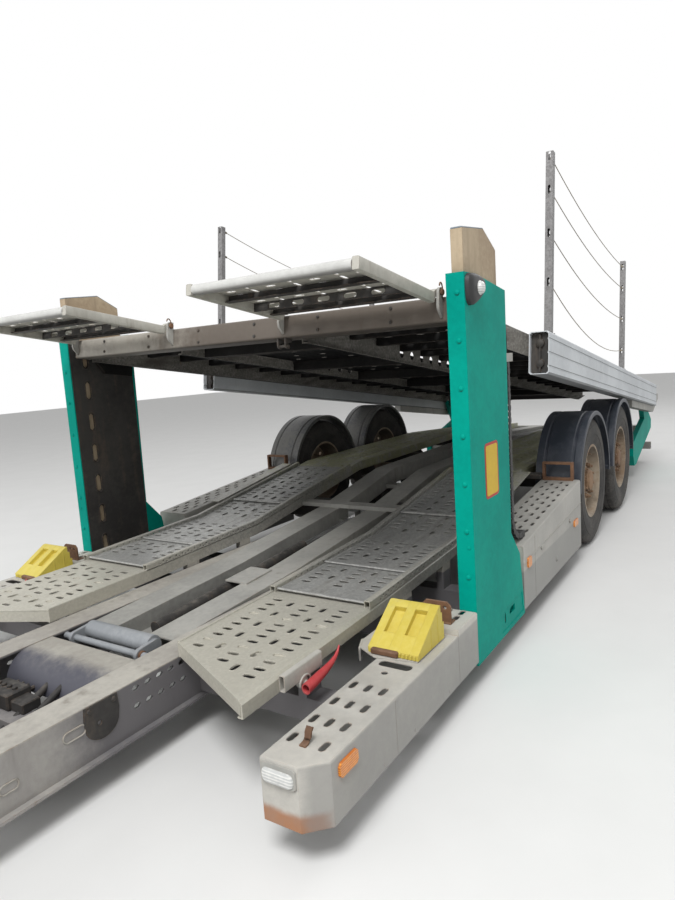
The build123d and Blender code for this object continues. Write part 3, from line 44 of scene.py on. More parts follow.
# Camera, seen from the trailer: it stands ahead and to the left of it, at eye height
cameraView = {
    "place": (3.994, 2.233, 1.367),
    "right": (-0.5395, 0.8395, -0.0651),
    "down": (0.1436, 0.0156, -0.9895),
    "forward": (-0.8297, -0.5432, -0.129),
    "focalPixels": 653.0,
    "imageHeight": 900.0,
    "sensor": 36.0,
    "clip": (0.05, 200.0),
}


def addCamera(view):
    data = bpy.data.cameras.new("photoCamera")
    data.sensor_fit = "AUTO"
    data.sensor_width = view["sensor"]
    data.lens = view["focalPixels"] * view["sensor"] / view["imageHeight"]
    data.clip_start, data.clip_end = view["clip"]
    forward = Vector(view["forward"]).normalized()
    right = Vector(view["right"]).normalized()
    up = right.cross(forward).normalized()
    right = forward.cross(up).normalized()
    turn = Matrix((right, up, -forward)).transposed().to_4x4()
    camera = bpy.data.objects.new("photoCamera", data)
    camera.matrix_world = Matrix.Translation(Vector(view["place"])) @ turn
    scene.collection.objects.link(camera)
    scene.camera = camera


addCamera(cameraView)
print("camera set")


# A socket that can be reckoned with: each sum adds its own node
class Term:
    def __init__(self, finish, socket):
        self.finish = finish
        self.socket = socket

    def reckon(self, operation, first, second):
        sides = [side for side in (first, second) if isinstance(side, Term)]
        if any(side.socket.type in ("VECTOR", "RGBA") for side in sides):
            spread = [side if isinstance(side, (Term, tuple)) else (side, side, side)
                      for side in (first, second)]
            return self.finish.node("ShaderNodeVectorMath", {"operation": operation},
                                    {0: spread[0], 1: spread[1]})
        return self.finish.node("ShaderNodeMath", {"operation": operation}, {0: first, 1: second})

    def __add__(self, other):
        return self.reckon("ADD", self, other)

    def __radd__(self, other):
        return self.reckon("ADD", other, self)

    def __sub__(self, other):
        return self.reckon("SUBTRACT", self, other)

    def __rsub__(self, other):
        return self.reckon("SUBTRACT", other, self)

    def __mul__(self, other):
        return self.reckon("MULTIPLY", self, other)

    def __rmul__(self, other):
        return self.reckon("MULTIPLY", other, self)


# A material under construction, with the patterns that the trailer's surfaces share
class Finish:
    def __init__(self, name, owner=None):
        self.material = owner or bpy.data.materials.new(name)
        self.material.use_nodes = True
        self.tree = self.material.node_tree
        self.tree.nodes.clear()
        self.place = self.node("ShaderNodeTexCoord", output="Object")
        self.apart = self.node("ShaderNodeSeparateXYZ", sockets={0: self.place})

    def node(self, kind, settings=None, sockets=None, output=0):
        made = self.tree.nodes.new(kind)
        for key, value in (settings or {}).items():
            setattr(made, key, value)
        for key, value in (sockets or {}).items():
            if isinstance(value, Term):
                self.tree.links.new(value.socket, made.inputs[key])
            else:
                made.inputs[key].default_value = value
        return Term(self, made.outputs[output]) if len(made.outputs) else made

    def axis(self, index):
        return Term(self, self.apart.socket.node.outputs[index])

    def noise(self, scale, detail=4.0, stretch=None, roughness=0.55):
        place = self.place if stretch is None else self.place * stretch
        sockets = {"Vector": place, "Scale": scale, "Detail": detail, "Roughness": roughness}
        return self.node("ShaderNodeTexNoise", {}, sockets)

    def cells(self, scale):
        return self.node("ShaderNodeTexVoronoi", {}, {"Vector": self.place, "Scale": scale}, "Color")

    def between(self, value, low, high):
        # 0 below low, 1 above high, smooth between them
        sockets = {"Value": value, "From Min": low, "From Max": high}
        return self.node("ShaderNodeMapRange", {"interpolation_type": "SMOOTHSTEP"}, sockets)

    def blend(self, share, first, second):
        first = first if isinstance(first, Term) else (*first, 1.0)
        second = second if isinstance(second, Term) else (*second, 1.0)
        sockets = {0: share, 6: first, 7: second}
        return self.node("ShaderNodeMix", {"data_type": "RGBA"}, sockets, 2)

    def soft(self, radius):
        return self.node("ShaderNodeBevel", {"samples": 4}, {"Radius": radius})

    def worn(self, rounded):
        # 1 along sharp edges, from how far the rounded normal leaves the true one
        flat = self.node("ShaderNodeNewGeometry", output="Normal")
        same = self.node("ShaderNodeVectorMath", {"operation": "DOT_PRODUCT"}, {0: rounded, 1: flat},
                         "Value")
        return self.between(1 - same, 0.02, 0.22)

    def facingUp(self):
        # 1 on what faces straight up, -1 on what faces the ground
        normal = self.node("ShaderNodeNewGeometry", output="Normal")
        return self.node("ShaderNodeSeparateXYZ", sockets={0: normal}, output=2)

    def bump(self, height, distance, strength, under=None):
        sockets = {"Height": height, "Distance": distance, "Strength": strength}
        if under is not None:
            sockets["Normal"] = under
        return self.node("ShaderNodeBump", {}, sockets)

    def close(self, colour, roughness, metallic=0.0, normal=None, **rest):
        sockets = {"Base Color": colour, "Roughness": roughness, "Metallic": metallic}
        if normal is not None:
            sockets["Normal"] = normal
        sockets.update({key.replace("_", " "): value for key, value in rest.items()})
        if not isinstance(colour, Term):
            sockets["Base Color"] = (*colour, 1.0)
        shader = self.node("ShaderNodeBsdfPrincipled", {}, sockets)
        self.node("ShaderNodeOutputMaterial", {}, {"Surface": shader})
        return self.material


finishes = {}

# Paints and bare metals. Columns: tone and shade, which large blotches wander between; dirt that
# settles on them; what shows on bare edges; then the amounts of grime, rust, roughness and wear
paintColumns = ("tone", "shade", "dirt", "edge", "grime", "rust", "rough", "wear")
paintTable = {
    "greyPaint": ((0.43, 0.425, 0.395), (0.29, 0.285, 0.265), (0.2, 0.18, 0.15), (0.3, 0.17, 0.09),
                  0.45, 0.3, 0.55, 0.35),
    "boxPaint": ((0.57, 0.55, 0.5), (0.43, 0.415, 0.38), (0.27, 0.22, 0.17), (0.33, 0.19, 0.1),
                 0.32, 0.22, 0.52, 0.45),
    "railPaint": ((0.5, 0.48, 0.43), (0.33, 0.31, 0.28), (0.12, 0.1, 0.08), (0.34, 0.18, 0.08),
                  0.6, 0.42, 0.62, 0.4),
    "greenPaint": ((0.0, 0.345, 0.268), (0.0, 0.272, 0.218), (0.004, 0.13, 0.105), (0.06, 0.36, 0.29),
                   0.25, 0.05, 0.5, 0.15),
    "ropeWire": ((0.42, 0.37, 0.28), (0.3, 0.26, 0.2), (0.15, 0.12, 0.09), (0.34, 0.28, 0.2),
                 0.3, 0.2, 0.6, 0.2),
    "hubRust": ((0.3, 0.19, 0.11), (0.15, 0.085, 0.05), (0.07, 0.05, 0.038), (0.46, 0.38, 0.3),
                0.5, 0.7, 0.72, 0.5),
    "capPaint": ((0.25, 0.3, 0.35), (0.16, 0.19, 0.22), (0.1, 0.095, 0.085), (0.34, 0.3, 0.25),
                 0.4, 0.2, 0.6, 0.4),
    "panelRed": ((0.55, 0.045, 0.035), (0.42, 0.035, 0.03), (0.24, 0.09, 0.06), (0.5, 0.1, 0.08),
                 0.2, 0.0, 0.4, 0.1),
    "panelYellow": ((0.74, 0.5, 0.025), (0.62, 0.4, 0.02), (0.34, 0.22, 0.05), (0.6, 0.45, 0.1),
                    0.22, 0.0, 0.4, 0.1),
    "beamPaint": ((0.4, 0.375, 0.33), (0.26, 0.24, 0.21), (0.22, 0.17, 0.12), (0.34, 0.17, 0.08),
                  0.4, 0.45, 0.6, 0.5),
    "framePaint": ((0.5, 0.48, 0.43), (0.33, 0.31, 0.28), (0.12, 0.1, 0.08), (0.34, 0.18, 0.08),
                   0.55, 0.42, 0.62, 0.4),
    "bowPaint": ((0.44, 0.425, 0.38), (0.32, 0.3, 0.265), (0.2, 0.16, 0.12), (0.34, 0.18, 0.08),
                 0.35, 0.3, 0.6, 0.35),
    "rollerPaint": ((0.36, 0.38, 0.4), (0.25, 0.265, 0.28), (0.12, 0.11, 0.1), (0.32, 0.2, 0.12),
                    0.4, 0.3, 0.55, 0.4),
    "flapPaint": ((0.52, 0.505, 0.45), (0.36, 0.35, 0.31), (0.16, 0.13, 0.1), (0.22, 0.15, 0.1),
                  0.55, 0.35, 0.58, 0.45),
    "tubePaint": ((0.62, 0.62, 0.6), (0.5, 0.5, 0.48), (0.28, 0.22, 0.16), (0.34, 0.18, 0.09),
                  0.28, 0.3, 0.48, 0.4),
    # nearly black: soot, and painted shade on the members under the deck
    "shadeAndSootSteel": ((0.02, 0.019, 0.018), (0.01, 0.01, 0.01), (0.045, 0.034, 0.026), (0.09, 0.065, 0.045),
                  0.35, 0.2, 0.75, 0.3),
    "darkSteel": ((0.06, 0.056, 0.052), (0.03, 0.028, 0.027), (0.13, 0.1, 0.075), (0.24, 0.15, 0.09),
                  0.55, 0.4, 0.65, 0.45),
    "whiteBeam": ((0.69, 0.72, 0.745), (0.59, 0.615, 0.64), (0.36, 0.34, 0.31), (0.6, 0.6, 0.58),
                  0.22, 0.03, 0.58, 0.2),
    "rustySteel": ((0.23, 0.12, 0.065), (0.12, 0.065, 0.04), (0.07, 0.055, 0.045), (0.36, 0.22, 0.13),
                   0.45, 0.65, 0.8, 0.4),
    "yellowPaint": ((0.72, 0.6, 0.11), (0.6, 0.48, 0.08), (0.36, 0.29, 0.1), (0.55, 0.42, 0.1),
                    0.3, 0.1, 0.5, 0.4),
    "redLever": ((0.62, 0.075, 0.085), (0.46, 0.05, 0.055), (0.24, 0.09, 0.07), (0.6, 0.3, 0.26),
                 0.35, 0.12, 0.42, 0.55),
    "mastPaint": ((0.52, 0.42, 0.29), (0.36, 0.27, 0.18), (0.17, 0.12, 0.085), (0.3, 0.19, 0.11),
                  0.55, 0.4, 0.66, 0.35),
    "rimPaint": ((0.42, 0.36, 0.28), (0.24, 0.165, 0.105), (0.11, 0.075, 0.05), (0.5, 0.46, 0.4),
                 0.7, 0.62, 0.64, 0.5),
}
# what else differs: dust on top, soot and painted shade underneath, shine, and patches of another colour
# and of painted shade; a patch's columns: its edges (axis, where it starts, where it is full), colour,
# share
paintExtras = {
    # boxPaint: rust low on the nose; painted shade on the sides below the top and over the rear boxes
    "boxPaint": {"patches": ((((0, 2.655, 2.69), (2, 0.178, 0.15)), (0.38, 0.15, 0.05), 0.92),
                             (((2, 0.312, 0.3), (0, 2.745, 2.7)), (0.235, 0.232, 0.225), 0.62),
                             (((0, 1.02, 0.9),), (0.29, 0.29, 0.275), 0.5))},
    "greenPaint": {"dust": 0.03, "shine": 0.05},
    "ropeWire": {"shadeAndSoot": 0.3},
    "panelRed": {"shine": 0.2},
    "panelYellow": {"shine": 0.2},
    "beamPaint": {"patches": ((((1, -0.75, -0.1),), (0.085, 0.066, 0.052), 0.88),)},
    # framePaint: painted shadow, near black, low under the tracks; painted shade below the rails' top
    # flange
    "framePaint": {"patches": ((((0, 2.98, 2.7), (2, 0.3145, 0.308)), (0.075, 0.072, 0.08), 0.9),
                               (((2, 0.3145, 0.308),), (0.24, 0.23, 0.24), 0.4))},
    # bowPaint: painted shade, dark blue-grey, where the bowed plate curves down at its front
    "bowPaint": {"patches": ((((0, 2.545, 2.625),), (0.06, 0.062, 0.085), 0.94),)},
    "flapPaint": {"shadeAndSoot": 0.2},
    "shadeAndSootSteel": {"dust": 0.1, "shadeAndSoot": 0.9, "shine": 0.1},
    "whiteBeam": {"shine": 0.1},
}


def paint(name, look):
    finish = Finish(name)
    broad = finish.noise(2.3, 5.0)
    fine = finish.noise(38.0, 6.0, roughness=0.65)
    runs = finish.noise(7.0, 4.0, stretch=(2.6, 2.6, 0.35))
    soft = finish.soft(0.004)
    colour = finish.blend(finish.between(broad * 0.7 + fine * 0.3, 0.36, 0.64), look["shade"], look["tone"])
    # grime gathers in runs down the sides and in blotches
    grime = finish.between(runs * 0.55 + broad * 0.25 + fine * 0.20, 0.66 - 0.28 * look["grime"],
                           0.80 - 0.12 * look["grime"])
    colour = finish.blend(grime * 0.75, colour, look["dirt"])
    # rust comes up in spots, thickest low down
    spots = finish.noise(15.0, 8.0, roughness=0.7)
    low = 1 - finish.between(finish.axis(2), 0.05, 0.55)
    rust = finish.between(spots * 0.8 + fine * 0.15 + low * 0.05, 0.74 - 0.24 * look["rust"],
                          0.80 - 0.20 * look["rust"])
    rustColour = finish.blend(fine, (0.13, 0.050, 0.020), (0.36, 0.155, 0.055))
    colour = finish.blend(rust * 0.85, colour, rustColour)
    worn = finish.worn(soft) * finish.between(fine + spots * 0.4, 0.72 - 0.30 * look["wear"],
                                              0.98 - 0.30 * look["wear"])
    colour = finish.blend(worn * 0.8, colour, look["edge"])
    for edges, tint, share in look.get("patches", ()):
        mask = share
        for axis, first, last in edges:
            mask = finish.between(finish.axis(axis) + 0.5 * (last - first) * (spots * 2 - 1), first,
                                  last) * mask
        colour = finish.blend(mask, colour, tint)
    # a pale film of dust on what faces up
    up = finish.facingUp()
    dust = finish.between(up, 0.55, 1.0) * finish.between(broad * 0.5 + fine * 0.5, 0.40, 0.72)
    colour = finish.blend(dust * look.get("dust", 0.25), colour, (0.43, 0.40, 0.35))
    # soot and road dirt cling underneath, and painted shade darkens all that faces the ground
    under = finish.between(0 - up, 0.25, 0.9)
    colour = finish.blend(under * look.get("shadeAndSoot", 0.7), colour, (0.035, 0.031, 0.028))
    roughness = look["rough"] + 0.16 * grime + 0.18 * rust + 0.10 * dust - 0.05 * broad
    height = fine * 0.35 + rust * 0.8 + grime * 0.15
    normal = finish.bump(height, 0.0012, 0.45, soft)
    return finish.close(colour, roughness, normal=normal, Specular_IOR_Level=look.get("shine", 0.35))


for name, row in paintTable.items():
    finishes[name] = paint(name, {**dict(zip(paintColumns, row)), **paintExtras.get(name, {})})

zincTable = {
    "trackZinc": {"tone": (0.47, 0.46, 0.42), "shade": (0.33, 0.325, 0.30), "dirt": (0.15, 0.13, 0.105),
                  "moss": 0.55, "grime": 0.45, "rough": 0.55, "front": (0.60, 0.57, 0.47)},
    "plateZinc": {"tone": (0.43, 0.43, 0.41), "shade": (0.30, 0.30, 0.29), "dirt": (0.12, 0.11, 0.095),
                  "moss": 0.0, "grime": 0.55, "rough": 0.52},
    # underneath nearly black: soot, and painted shade
    "deckZinc": {"tone": (0.33, 0.318, 0.290), "shade": (0.18, 0.172, 0.156), "dirt": (0.075, 0.066, 0.056),
                 "moss": 0.0, "grime": 0.80, "rough": 0.75, "shadeAndSoot": 1.0, "shine": 0.08,
                 "shadeAndSootColour": (0.009, 0.009, 0.010)},
    "postZinc": {"tone": (0.24, 0.235, 0.235), "shade": (0.16, 0.155, 0.155), "dirt": (0.085, 0.075, 0.070),
                 "moss": 0.0, "grime": 0.35, "rough": 0.55, "shadeAndSoot": 0.5},
    "brightZinc": {"tone": (0.57, 0.57, 0.55), "shade": (0.44, 0.44, 0.43), "dirt": (0.24, 0.21, 0.18),
                   "moss": 0.0, "grime": 0.35, "rough": 0.45},
}


def galvanised(name, look):
    finish = Finish(name)
    broad = finish.noise(3.1, 6.0)
    fine = finish.noise(55.0, 6.0, roughness=0.7)
    spangle = finish.node("ShaderNodeSeparateColor", sockets={0: finish.cells(95.0)})
    scuffs = finish.noise(9.0, 5.0, stretch=(0.35, 3.0, 3.0))
    soft = finish.soft(0.003)
    share = broad * 0.55 + fine * 0.25 + spangle * 0.20
    colour = finish.blend(finish.between(share, 0.34, 0.66), look["shade"], look["tone"])
    grime = finish.between(broad * 0.35 + scuffs * 0.45 + fine * 0.20, 0.60 - 0.22 * look["grime"],
                           0.78 - 0.14 * look["grime"])
    colour = finish.blend(grime * 0.8, colour, look["dirt"])
    # moss thickens towards the tail, where the tracks climb over the axles
    back = 1 - finish.between(finish.axis(0), -0.6, 0.75)
    moss = finish.between(finish.noise(11.0, 8.0, roughness=0.75) + 0.16 * back, 0.50, 0.70)
    colour = finish.blend(moss * back * look["moss"], colour, (0.33, 0.34, 0.10))
    # paler, warmer tone towards the front, out from under the deck: painted sunlight
    if look.get("front"):
        ahead = finish.between(finish.axis(0) + 0.5 * broad, 1.45, 2.35)
        colour = finish.blend(ahead * 0.55, colour, look["front"])
    spots = finish.between(finish.noise(21.0, 8.0, roughness=0.72), 0.66, 0.72)
    colour = finish.blend(spots * 0.7, colour, finish.blend(fine, (0.16, 0.07, 0.03), (0.38, 0.18, 0.07)))
    bright = finish.worn(soft) * finish.between(fine, 0.35, 0.65)
    colour = finish.blend(bright * 0.55, colour, (0.66, 0.65, 0.60))
    up = finish.facingUp()
    # what faces the ground is darkened: soot, and painted shade
    under = finish.between(0 - up, 0.25, 0.9)
    colour = finish.blend(under * look.get("shadeAndSoot", 0.6), colour, look.get("shadeAndSootColour", (0.030, 0.027, 0.024)))
    roughness = look["rough"] + 0.20 * grime + 0.15 * spots - 0.10 * spangle
    metallic = 0.32 - 0.25 * grime - 0.2 * spots
    height = fine * 0.4 + spots * 0.6
    normal = finish.bump(height, 0.0008, 0.4, soft)
    return finish.close(colour, roughness, metallic, normal, Specular_IOR_Level=look.get("shine", 0.45))


for name, look in zincTable.items():
    finishes[name] = galvanised(name, look)


def rubber(name, tone, dusty, grain):
    finish = Finish(name)
    broad = finish.noise(5.0, 5.0)
    fine = finish.noise(grain, 5.0, roughness=0.7)
    colour = finish.blend(finish.between(broad * 0.6 + fine * 0.4, 0.38, 0.68), tone, dusty)
    return finish.close(colour, 0.72 + 0.2 * broad,
                        normal=finish.bump(fine, 0.0015, 0.35, finish.soft(0.003)))


finishes["tyreRubber"] = rubber("tyreRubber", (0.026, 0.025, 0.024), (0.088, 0.081, 0.073), 70.0)
finishes["bagRubber"] = rubber("bagRubber", (0.022, 0.022, 0.022), (0.060, 0.055, 0.050), 60.0)
finishes["hoseRubber"] = rubber("hoseRubber", (0.018, 0.018, 0.019), (0.050, 0.048, 0.046), 90.0)


def plastic(name, tone, dusty, rough, pale=None):
    finish = Finish(name)
    broad = finish.noise(4.0, 5.0)
    fine = finish.noise(48.0, 6.0, roughness=0.7)
    wipe = finish.noise(8.0, 4.0, stretch=(2.0, 2.0, 0.5))
    colour = finish.blend(finish.between(broad * 0.4 + fine * 0.25 + wipe * 0.35, 0.42, 0.66), tone, dusty)
    if pale:
        far = 1 - finish.between(finish.axis(1), -0.4, 0.4)
        colour = finish.blend(far * finish.between(broad * 0.5 + fine * 0.5, 0.30, 0.62), colour, pale)
    return finish.close(colour, rough + 0.2 * broad,
                        normal=finish.bump(fine, 0.0006, 0.35, finish.soft(0.004)))


finishes["guardPlastic"] = plastic("guardPlastic", (0.020, 0.026, 0.038), (0.060, 0.066, 0.080), 0.34,
                                   (0.125, 0.122, 0.112))
finishes["blackPlastic"] = plastic("blackPlastic", (0.020, 0.020, 0.021), (0.055, 0.052, 0.050), 0.45)


def lens(name, tone, deep, ribs):
    finish = Finish(name)
    fine = finish.noise(60.0, 4.0)
    comb = finish.node("ShaderNodeMath", {"operation": "SINE"}, {0: finish.axis(2) * ribs})
    colour = finish.blend(finish.between(comb * 0.25 + fine, 0.3, 0.75), deep, tone)
    normal = finish.bump(comb * 0.5 + fine * 0.3, 0.0010, 0.4, finish.soft(0.004))
    return finish.close(colour, 0.22 + 0.2 * fine, normal=normal, Coat_Weight=0.5)


finishes["amberLens"] = lens("amberLens", (0.88, 0.33, 0.03), (0.60, 0.16, 0.01), 900.0)
finishes["whiteLens"] = lens("whiteLens", (0.80, 0.80, 0.77), (0.55, 0.56, 0.55), 700.0)
finishes["redLens"] = lens("redLens", (0.50, 0.02, 0.02), (0.26, 0.01, 0.01), 700.0)


def polished(name):
    finish = Finish(name)
    fine = finish.noise(30.0, 5.0, stretch=(0.3, 4.0, 4.0))
    colour = finish.blend(finish.between(fine, 0.35, 0.7), (0.42, 0.42, 0.42), (0.68, 0.68, 0.67))
    return finish.close(colour, 0.20 + 0.25 * fine, 0.95, finish.bump(fine, 0.0003, 0.3))


finishes["polishedRod"] = polished("polishedRod")
print("finishes made:", len(finishes))


# Mesh tools: each adds a closed shell to the shape being made
def loft(shape, rings, closed=False):
    # rings of points joined one to the next, capped at both ends unless the rings close on themselves
    rows = [[shape.verts.new(point) for point in ring] for ring in rings]
    count = len(rows[0])
    for first, second in zip(rows, rows[1:] + rows[:1] if closed else rows[1:]):
        for i in range(count):
            j = (i + 1) % count
            shape.faces.new((first[i], first[j], second[j], second[i]))
    if not closed:
        shape.faces.new(list(reversed(rows[0])))
        shape.faces.new(rows[-1])


def frameAlong(way):
    # two directions square to the given one
    way = Vector(way).normalized()
    side = way.cross(Vector((0, 0, 1)) if abs(way.z) < 0.9 else Vector((0, 1, 0))).normalized()
    return side, side.cross(way).normalized()


def addLathe(shape, start, way, profile, sides=24, closed=False):
    # columns of the profile: distance along, radius
    start, way = Vector(start), Vector(way).normalized()
    side, up = frameAlong(way)
    rings = []
    for along, radius in profile:
        middle = start + way * along
        rings.append([middle + side * radius * math.cos(math.tau * i / sides)
                      + up * radius * math.sin(math.tau * i / sides) for i in range(sides)])
    loft(shape, rings, closed)


def addRod(shape, start, end, radius, sides=14, edge=0.0015):
    start, end = Vector(start), Vector(end)
    length = (end - start).length
    profile = [(0, radius - edge), (edge, radius), (length - edge, radius), (length, radius - edge)]
    addLathe(shape, start, end - start, profile, sides)


def addTube(shape, start, way, length, inner, outer):
    profile = [(0, inner), (0, outer), (length, outer), (length, inner)]
    addLathe(shape, start, way, profile, 20, True)


def addBall(shape, middle, way, radius, rise, sides=12, rows=4):
    # low dome, such as a rivet's head
    profile = [(-0.002, radius)]
    for k in range(rows + 1):
        turn = math.pi / 2 * k / rows
        profile.append((rise * math.sin(turn), max(radius * math.cos(turn), radius * 0.06)))
    addLathe(shape, middle, way, profile, sides)


def rounded(width, height, corner, steps):
    # outline of a rectangle with rounded corners, about its centre
    points = []
    corner = min(corner, width / 2 - 1e-5, height / 2 - 1e-5)
    for quarter, (sx, sy) in enumerate(((1, 1), (-1, 1), (-1, -1), (1, -1))):
        for step in range(steps + 1):
            angle = math.pi / 2 * (quarter + step / steps)
            points.append((sx * (width / 2 - corner) + corner * math.cos(angle),
                           sy * (height / 2 - corner) + corner * math.sin(angle)))
    return points


def ring(radius, sides):
    return [(radius * math.cos(math.tau * i / sides), radius * math.sin(math.tau * i / sides))
            for i in range(sides)]


def moved(outline, x, y, turn=0.0):
    c, s = math.cos(turn), math.sin(turn)
    return [(x + c * u - s * v, y + s * u + c * v) for u, v in outline]


def addBox(shape, low, high, corner):
    low, high = Vector(low), Vector(high)
    size = high - low
    middle = (low + high) / 2
    corner = min(corner, min(size) / 2.5)
    rings = []
    for lift, inset in ((-size.z / 2, corner), (-size.z / 2 + corner, 0),
                        (size.z / 2 - corner, 0), (size.z / 2, corner)):
        outline = rounded(size.x - 2 * inset, size.y - 2 * inset, corner, 1)
        rings.append([middle + Vector((u, v, lift)) for u, v in outline])
    loft(shape, rings)


def addSideBox(shape, side, xs, ys, zs, corner):
    # a box on one side of the trailer: ys are distances out from its middle
    low, high = sorted(side * y for y in ys)
    addBox(shape, (xs[0], low, zs[0]), (xs[1], high, zs[1]), corner)


lipWidth = 0.003        # how far a raised edge spreads round its hole


def addSheet(shape, outline, holes, place, thick, cuts=(), lips=()):
    # a sheet with holes: place turns (u, v, w) into a point, w is 0 on its face and -thick behind;
    # cuts are values of u where it may bend, and lips are how far each hole's edge is raised
    points = list(outline)
    lips = list(lips) or [0.0] * len(holes)
    owner = [-1] * len(points)
    edges = [(i, (i + 1) % len(points)) for i in range(len(points))]
    for number, hole in enumerate(holes):
        base = len(points)
        if lips[number]:
            cu = sum(u for u, v in hole) / len(hole)
            cv = sum(v for u, v in hole) / len(hole)
            rim = []
            for u, v in hole:
                reach = math.hypot(u - cu, v - cv)
                rim.append((u + (u - cu) / reach * lipWidth, v + (v - cv) / reach * lipWidth))
        else:
            rim = list(hole)
        points += rim
        owner += [number] * len(rim)
        edges += [(base + i, base + (i + 1) % len(rim)) for i in range(len(rim))]
    vLow = min(v for u, v in outline)
    vHigh = max(v for u, v in outline)
    for u in cuts:
        base = len(points)
        points += [(u, vLow - 0.01), (u, vHigh + 0.01)]
        owner += [-2, -2]
        edges.append((base, base + 1))
    made, _, triangles, origin, _, _ = delaunay_2d_cdt([Vector(p) for p in points], edges, [], 0, 1e-7)
    belongs = [owner[o[0]] if o else -1 for o in origin]
    kept = []
    rough = len(outline) > 4 or cuts
    for triangle in triangles:
        owners = {belongs[i] for i in triangle}
        if len(owners) == 1 and min(owners) >= 0:
            continue
        cu = sum(made[i][0] for i in triangle) / 3
        cv = sum(made[i][1] for i in triangle) / 3
        if rough and not inside(outline, cu, cv):
            continue
        kept.append(triangle)
    used = sorted({i for triangle in kept for i in triangle})
    top = {i: shape.verts.new(place(made[i][0], made[i][1], 0.0)) for i in used}
    low = {i: shape.verts.new(place(made[i][0], made[i][1], -thick)) for i in used}
    sides = {}
    for a, b, c in kept:
        shape.faces.new((top[a], top[b], top[c]))
        shape.faces.new((low[c], low[b], low[a]))
        for pair in ((a, b), (b, c), (c, a)):
            if (pair[1], pair[0]) in sides:
                del sides[(pair[1], pair[0])]
            else:
                sides[pair] = True
    # the sheet's edges, and each hole's wall with its raised lip
    crest, foot = {}, {}
    for a, b in sides:
        number = belongs[a] if belongs[a] == belongs[b] else -1
        lip = lips[number] if number >= 0 else 0.0
        if lip:
            for i in (a, b):
                if i not in crest:
                    hole = holes[number]
                    near = min(hole, key=lambda spot: (spot[0] - made[i][0]) ** 2
                               + (spot[1] - made[i][1]) ** 2)
                    crest[i] = shape.verts.new(place(near[0], near[1], lip))
                    foot[i] = shape.verts.new(place(near[0], near[1], lip - thick))
            shape.faces.new((top[b], top[a], crest[a], crest[b]))
            shape.faces.new((crest[b], crest[a], foot[a], foot[b]))
            shape.faces.new((foot[b], foot[a], low[a], low[b]))
        else:
            shape.faces.new((top[b], top[a], low[a], low[b]))


def inside(outline, u, v):
    found = False
    for (ua, va), (ub, vb) in zip(outline, outline[1:] + outline[:1]):
        if (va > v) != (vb > v) and u < (ub - ua) * (v - va) / (vb - va) + ua:
            found = not found
    return found


def finishPiece(shape, name, body, finish, replaced=(), sharp=34.0):
    bmesh.ops.recalc_face_normals(shape, faces=shape.faces)
    mesh = bpy.data.meshes.new(name)
    shape.to_mesh(mesh)
    shape.free()
    mesh.polygons.foreach_set("use_smooth", [True] * len(mesh.polygons))
    mesh.set_sharp_from_angle(angle=math.radians(sharp))
    mesh.materials.append(finishes[finish])
    piece = bpy.data.objects.new(name, mesh)
    scene.collection.objects.link(piece)
    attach(piece, body)
    if replaced:
        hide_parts(*replaced)


def makePiece(add, look, name, body, finish, replaced=(), sides=(1, -1)):
    # one piece from the same shape on each of its sides
    shape = bmesh.new()
    for side in sides:
        add(shape, side, look)
    finishPiece(shape, name, body, finish, replaced)


def lineZ(line, x):
    # height of a kinked line at a station
    for (xa, za), (xb, zb) in zip(line, line[1:]):
        if xb <= x <= xa:
            return za + (zb - za) * (x - xa) / (xb - xa)
    return line[0][1] if x > line[0][0] else line[-1][1]


def slotOutline(length, width, turn, steps=3):
    # lens-shaped slot as the punch leaves it: straight sides and round, drawn-in ends
    points = []
    for end in (1, -1):
        for step in range(steps + 1):
            angle = math.pi * (step / steps - 0.5)
            reach = length / 2 - width / 2 + math.cos(angle) * width / 2
            points.append((end * reach, end * math.sin(angle) * width / 2))
    return moved(points, 0, 0, math.radians(turn))


# The trailer's main stations, as in the solids (metres)
post = 1.575
tail = -4.475
halfWidth = 1.275
axleXs = (post - 2.335, post - 3.430)
wheelR = 0.445
trackLine = [(post + 1.040, 0.372), (post + 0.200, 0.384), (post - 0.630, 0.410),
             (axleXs[0] + 0.420, 0.600), (axleXs[1] - 0.420, 0.600), (tail + 0.150, 0.470)]
trackInner, trackOuter = 0.405, 0.920


def kinks(line, front, rear):
    return [x for x, z in line if rear < x < front]


def alongLine(shape, line, side, inner, outline, front, rear):
    # a bar that follows a kinked line: its outline is drawn across, first column outwards, second up
    stations = [front, *kinks(line, front, rear), rear]
    loft(shape, [[Vector((x, side * (inner + v), lineZ(line, x) + w)) for v, w in outline]
                 for x in stations])


# Lower tracks: punched trays with folded edges, and side rails with rows of small holes
trackLook = {
    "pitch": 0.0533, "firstSlot": post + 0.848, "slot": (0.052, 0.023), "lip": 0.0022,
    # columns: distance from the inner edge, first row, rows apart, turn
    "columns": ((0.094, 1, 1, 90), (0.180, 1.5, 2, 0), (0.266, 0, 1, 90), (0.346, -0.5, 2, 0),
                (0.430, -1, 1, 90)),
    "front": post + 1.040, "skew": 0.230, "rear": tail + 0.150, "width": 0.515, "sheet": 0.006,
    "railFront": post + 0.250, "railRear": post - 1.780, "railRise": 0.030, "railWidth": 0.028,
    "railHole": 0.0055, "railPitch": 0.046, "railSheet": 0.003, "clear": 0.06,
    "ribs": (2.30, 2.02, 1.70, 1.30, 0.75, 0.35, -0.75, -1.30, -1.90, -2.80, -3.40, -3.95),
    "ribLength": 0.03,
}
plateLook = {
    # columns: front end, rear end
    "ends": ((post + 0.233, post - 0.200), (post - 0.150, post - 1.010), (post - 0.967, post - 1.760)),
    "lift": 0.008, "roll": 0.009, "sheet": 0.005,
}


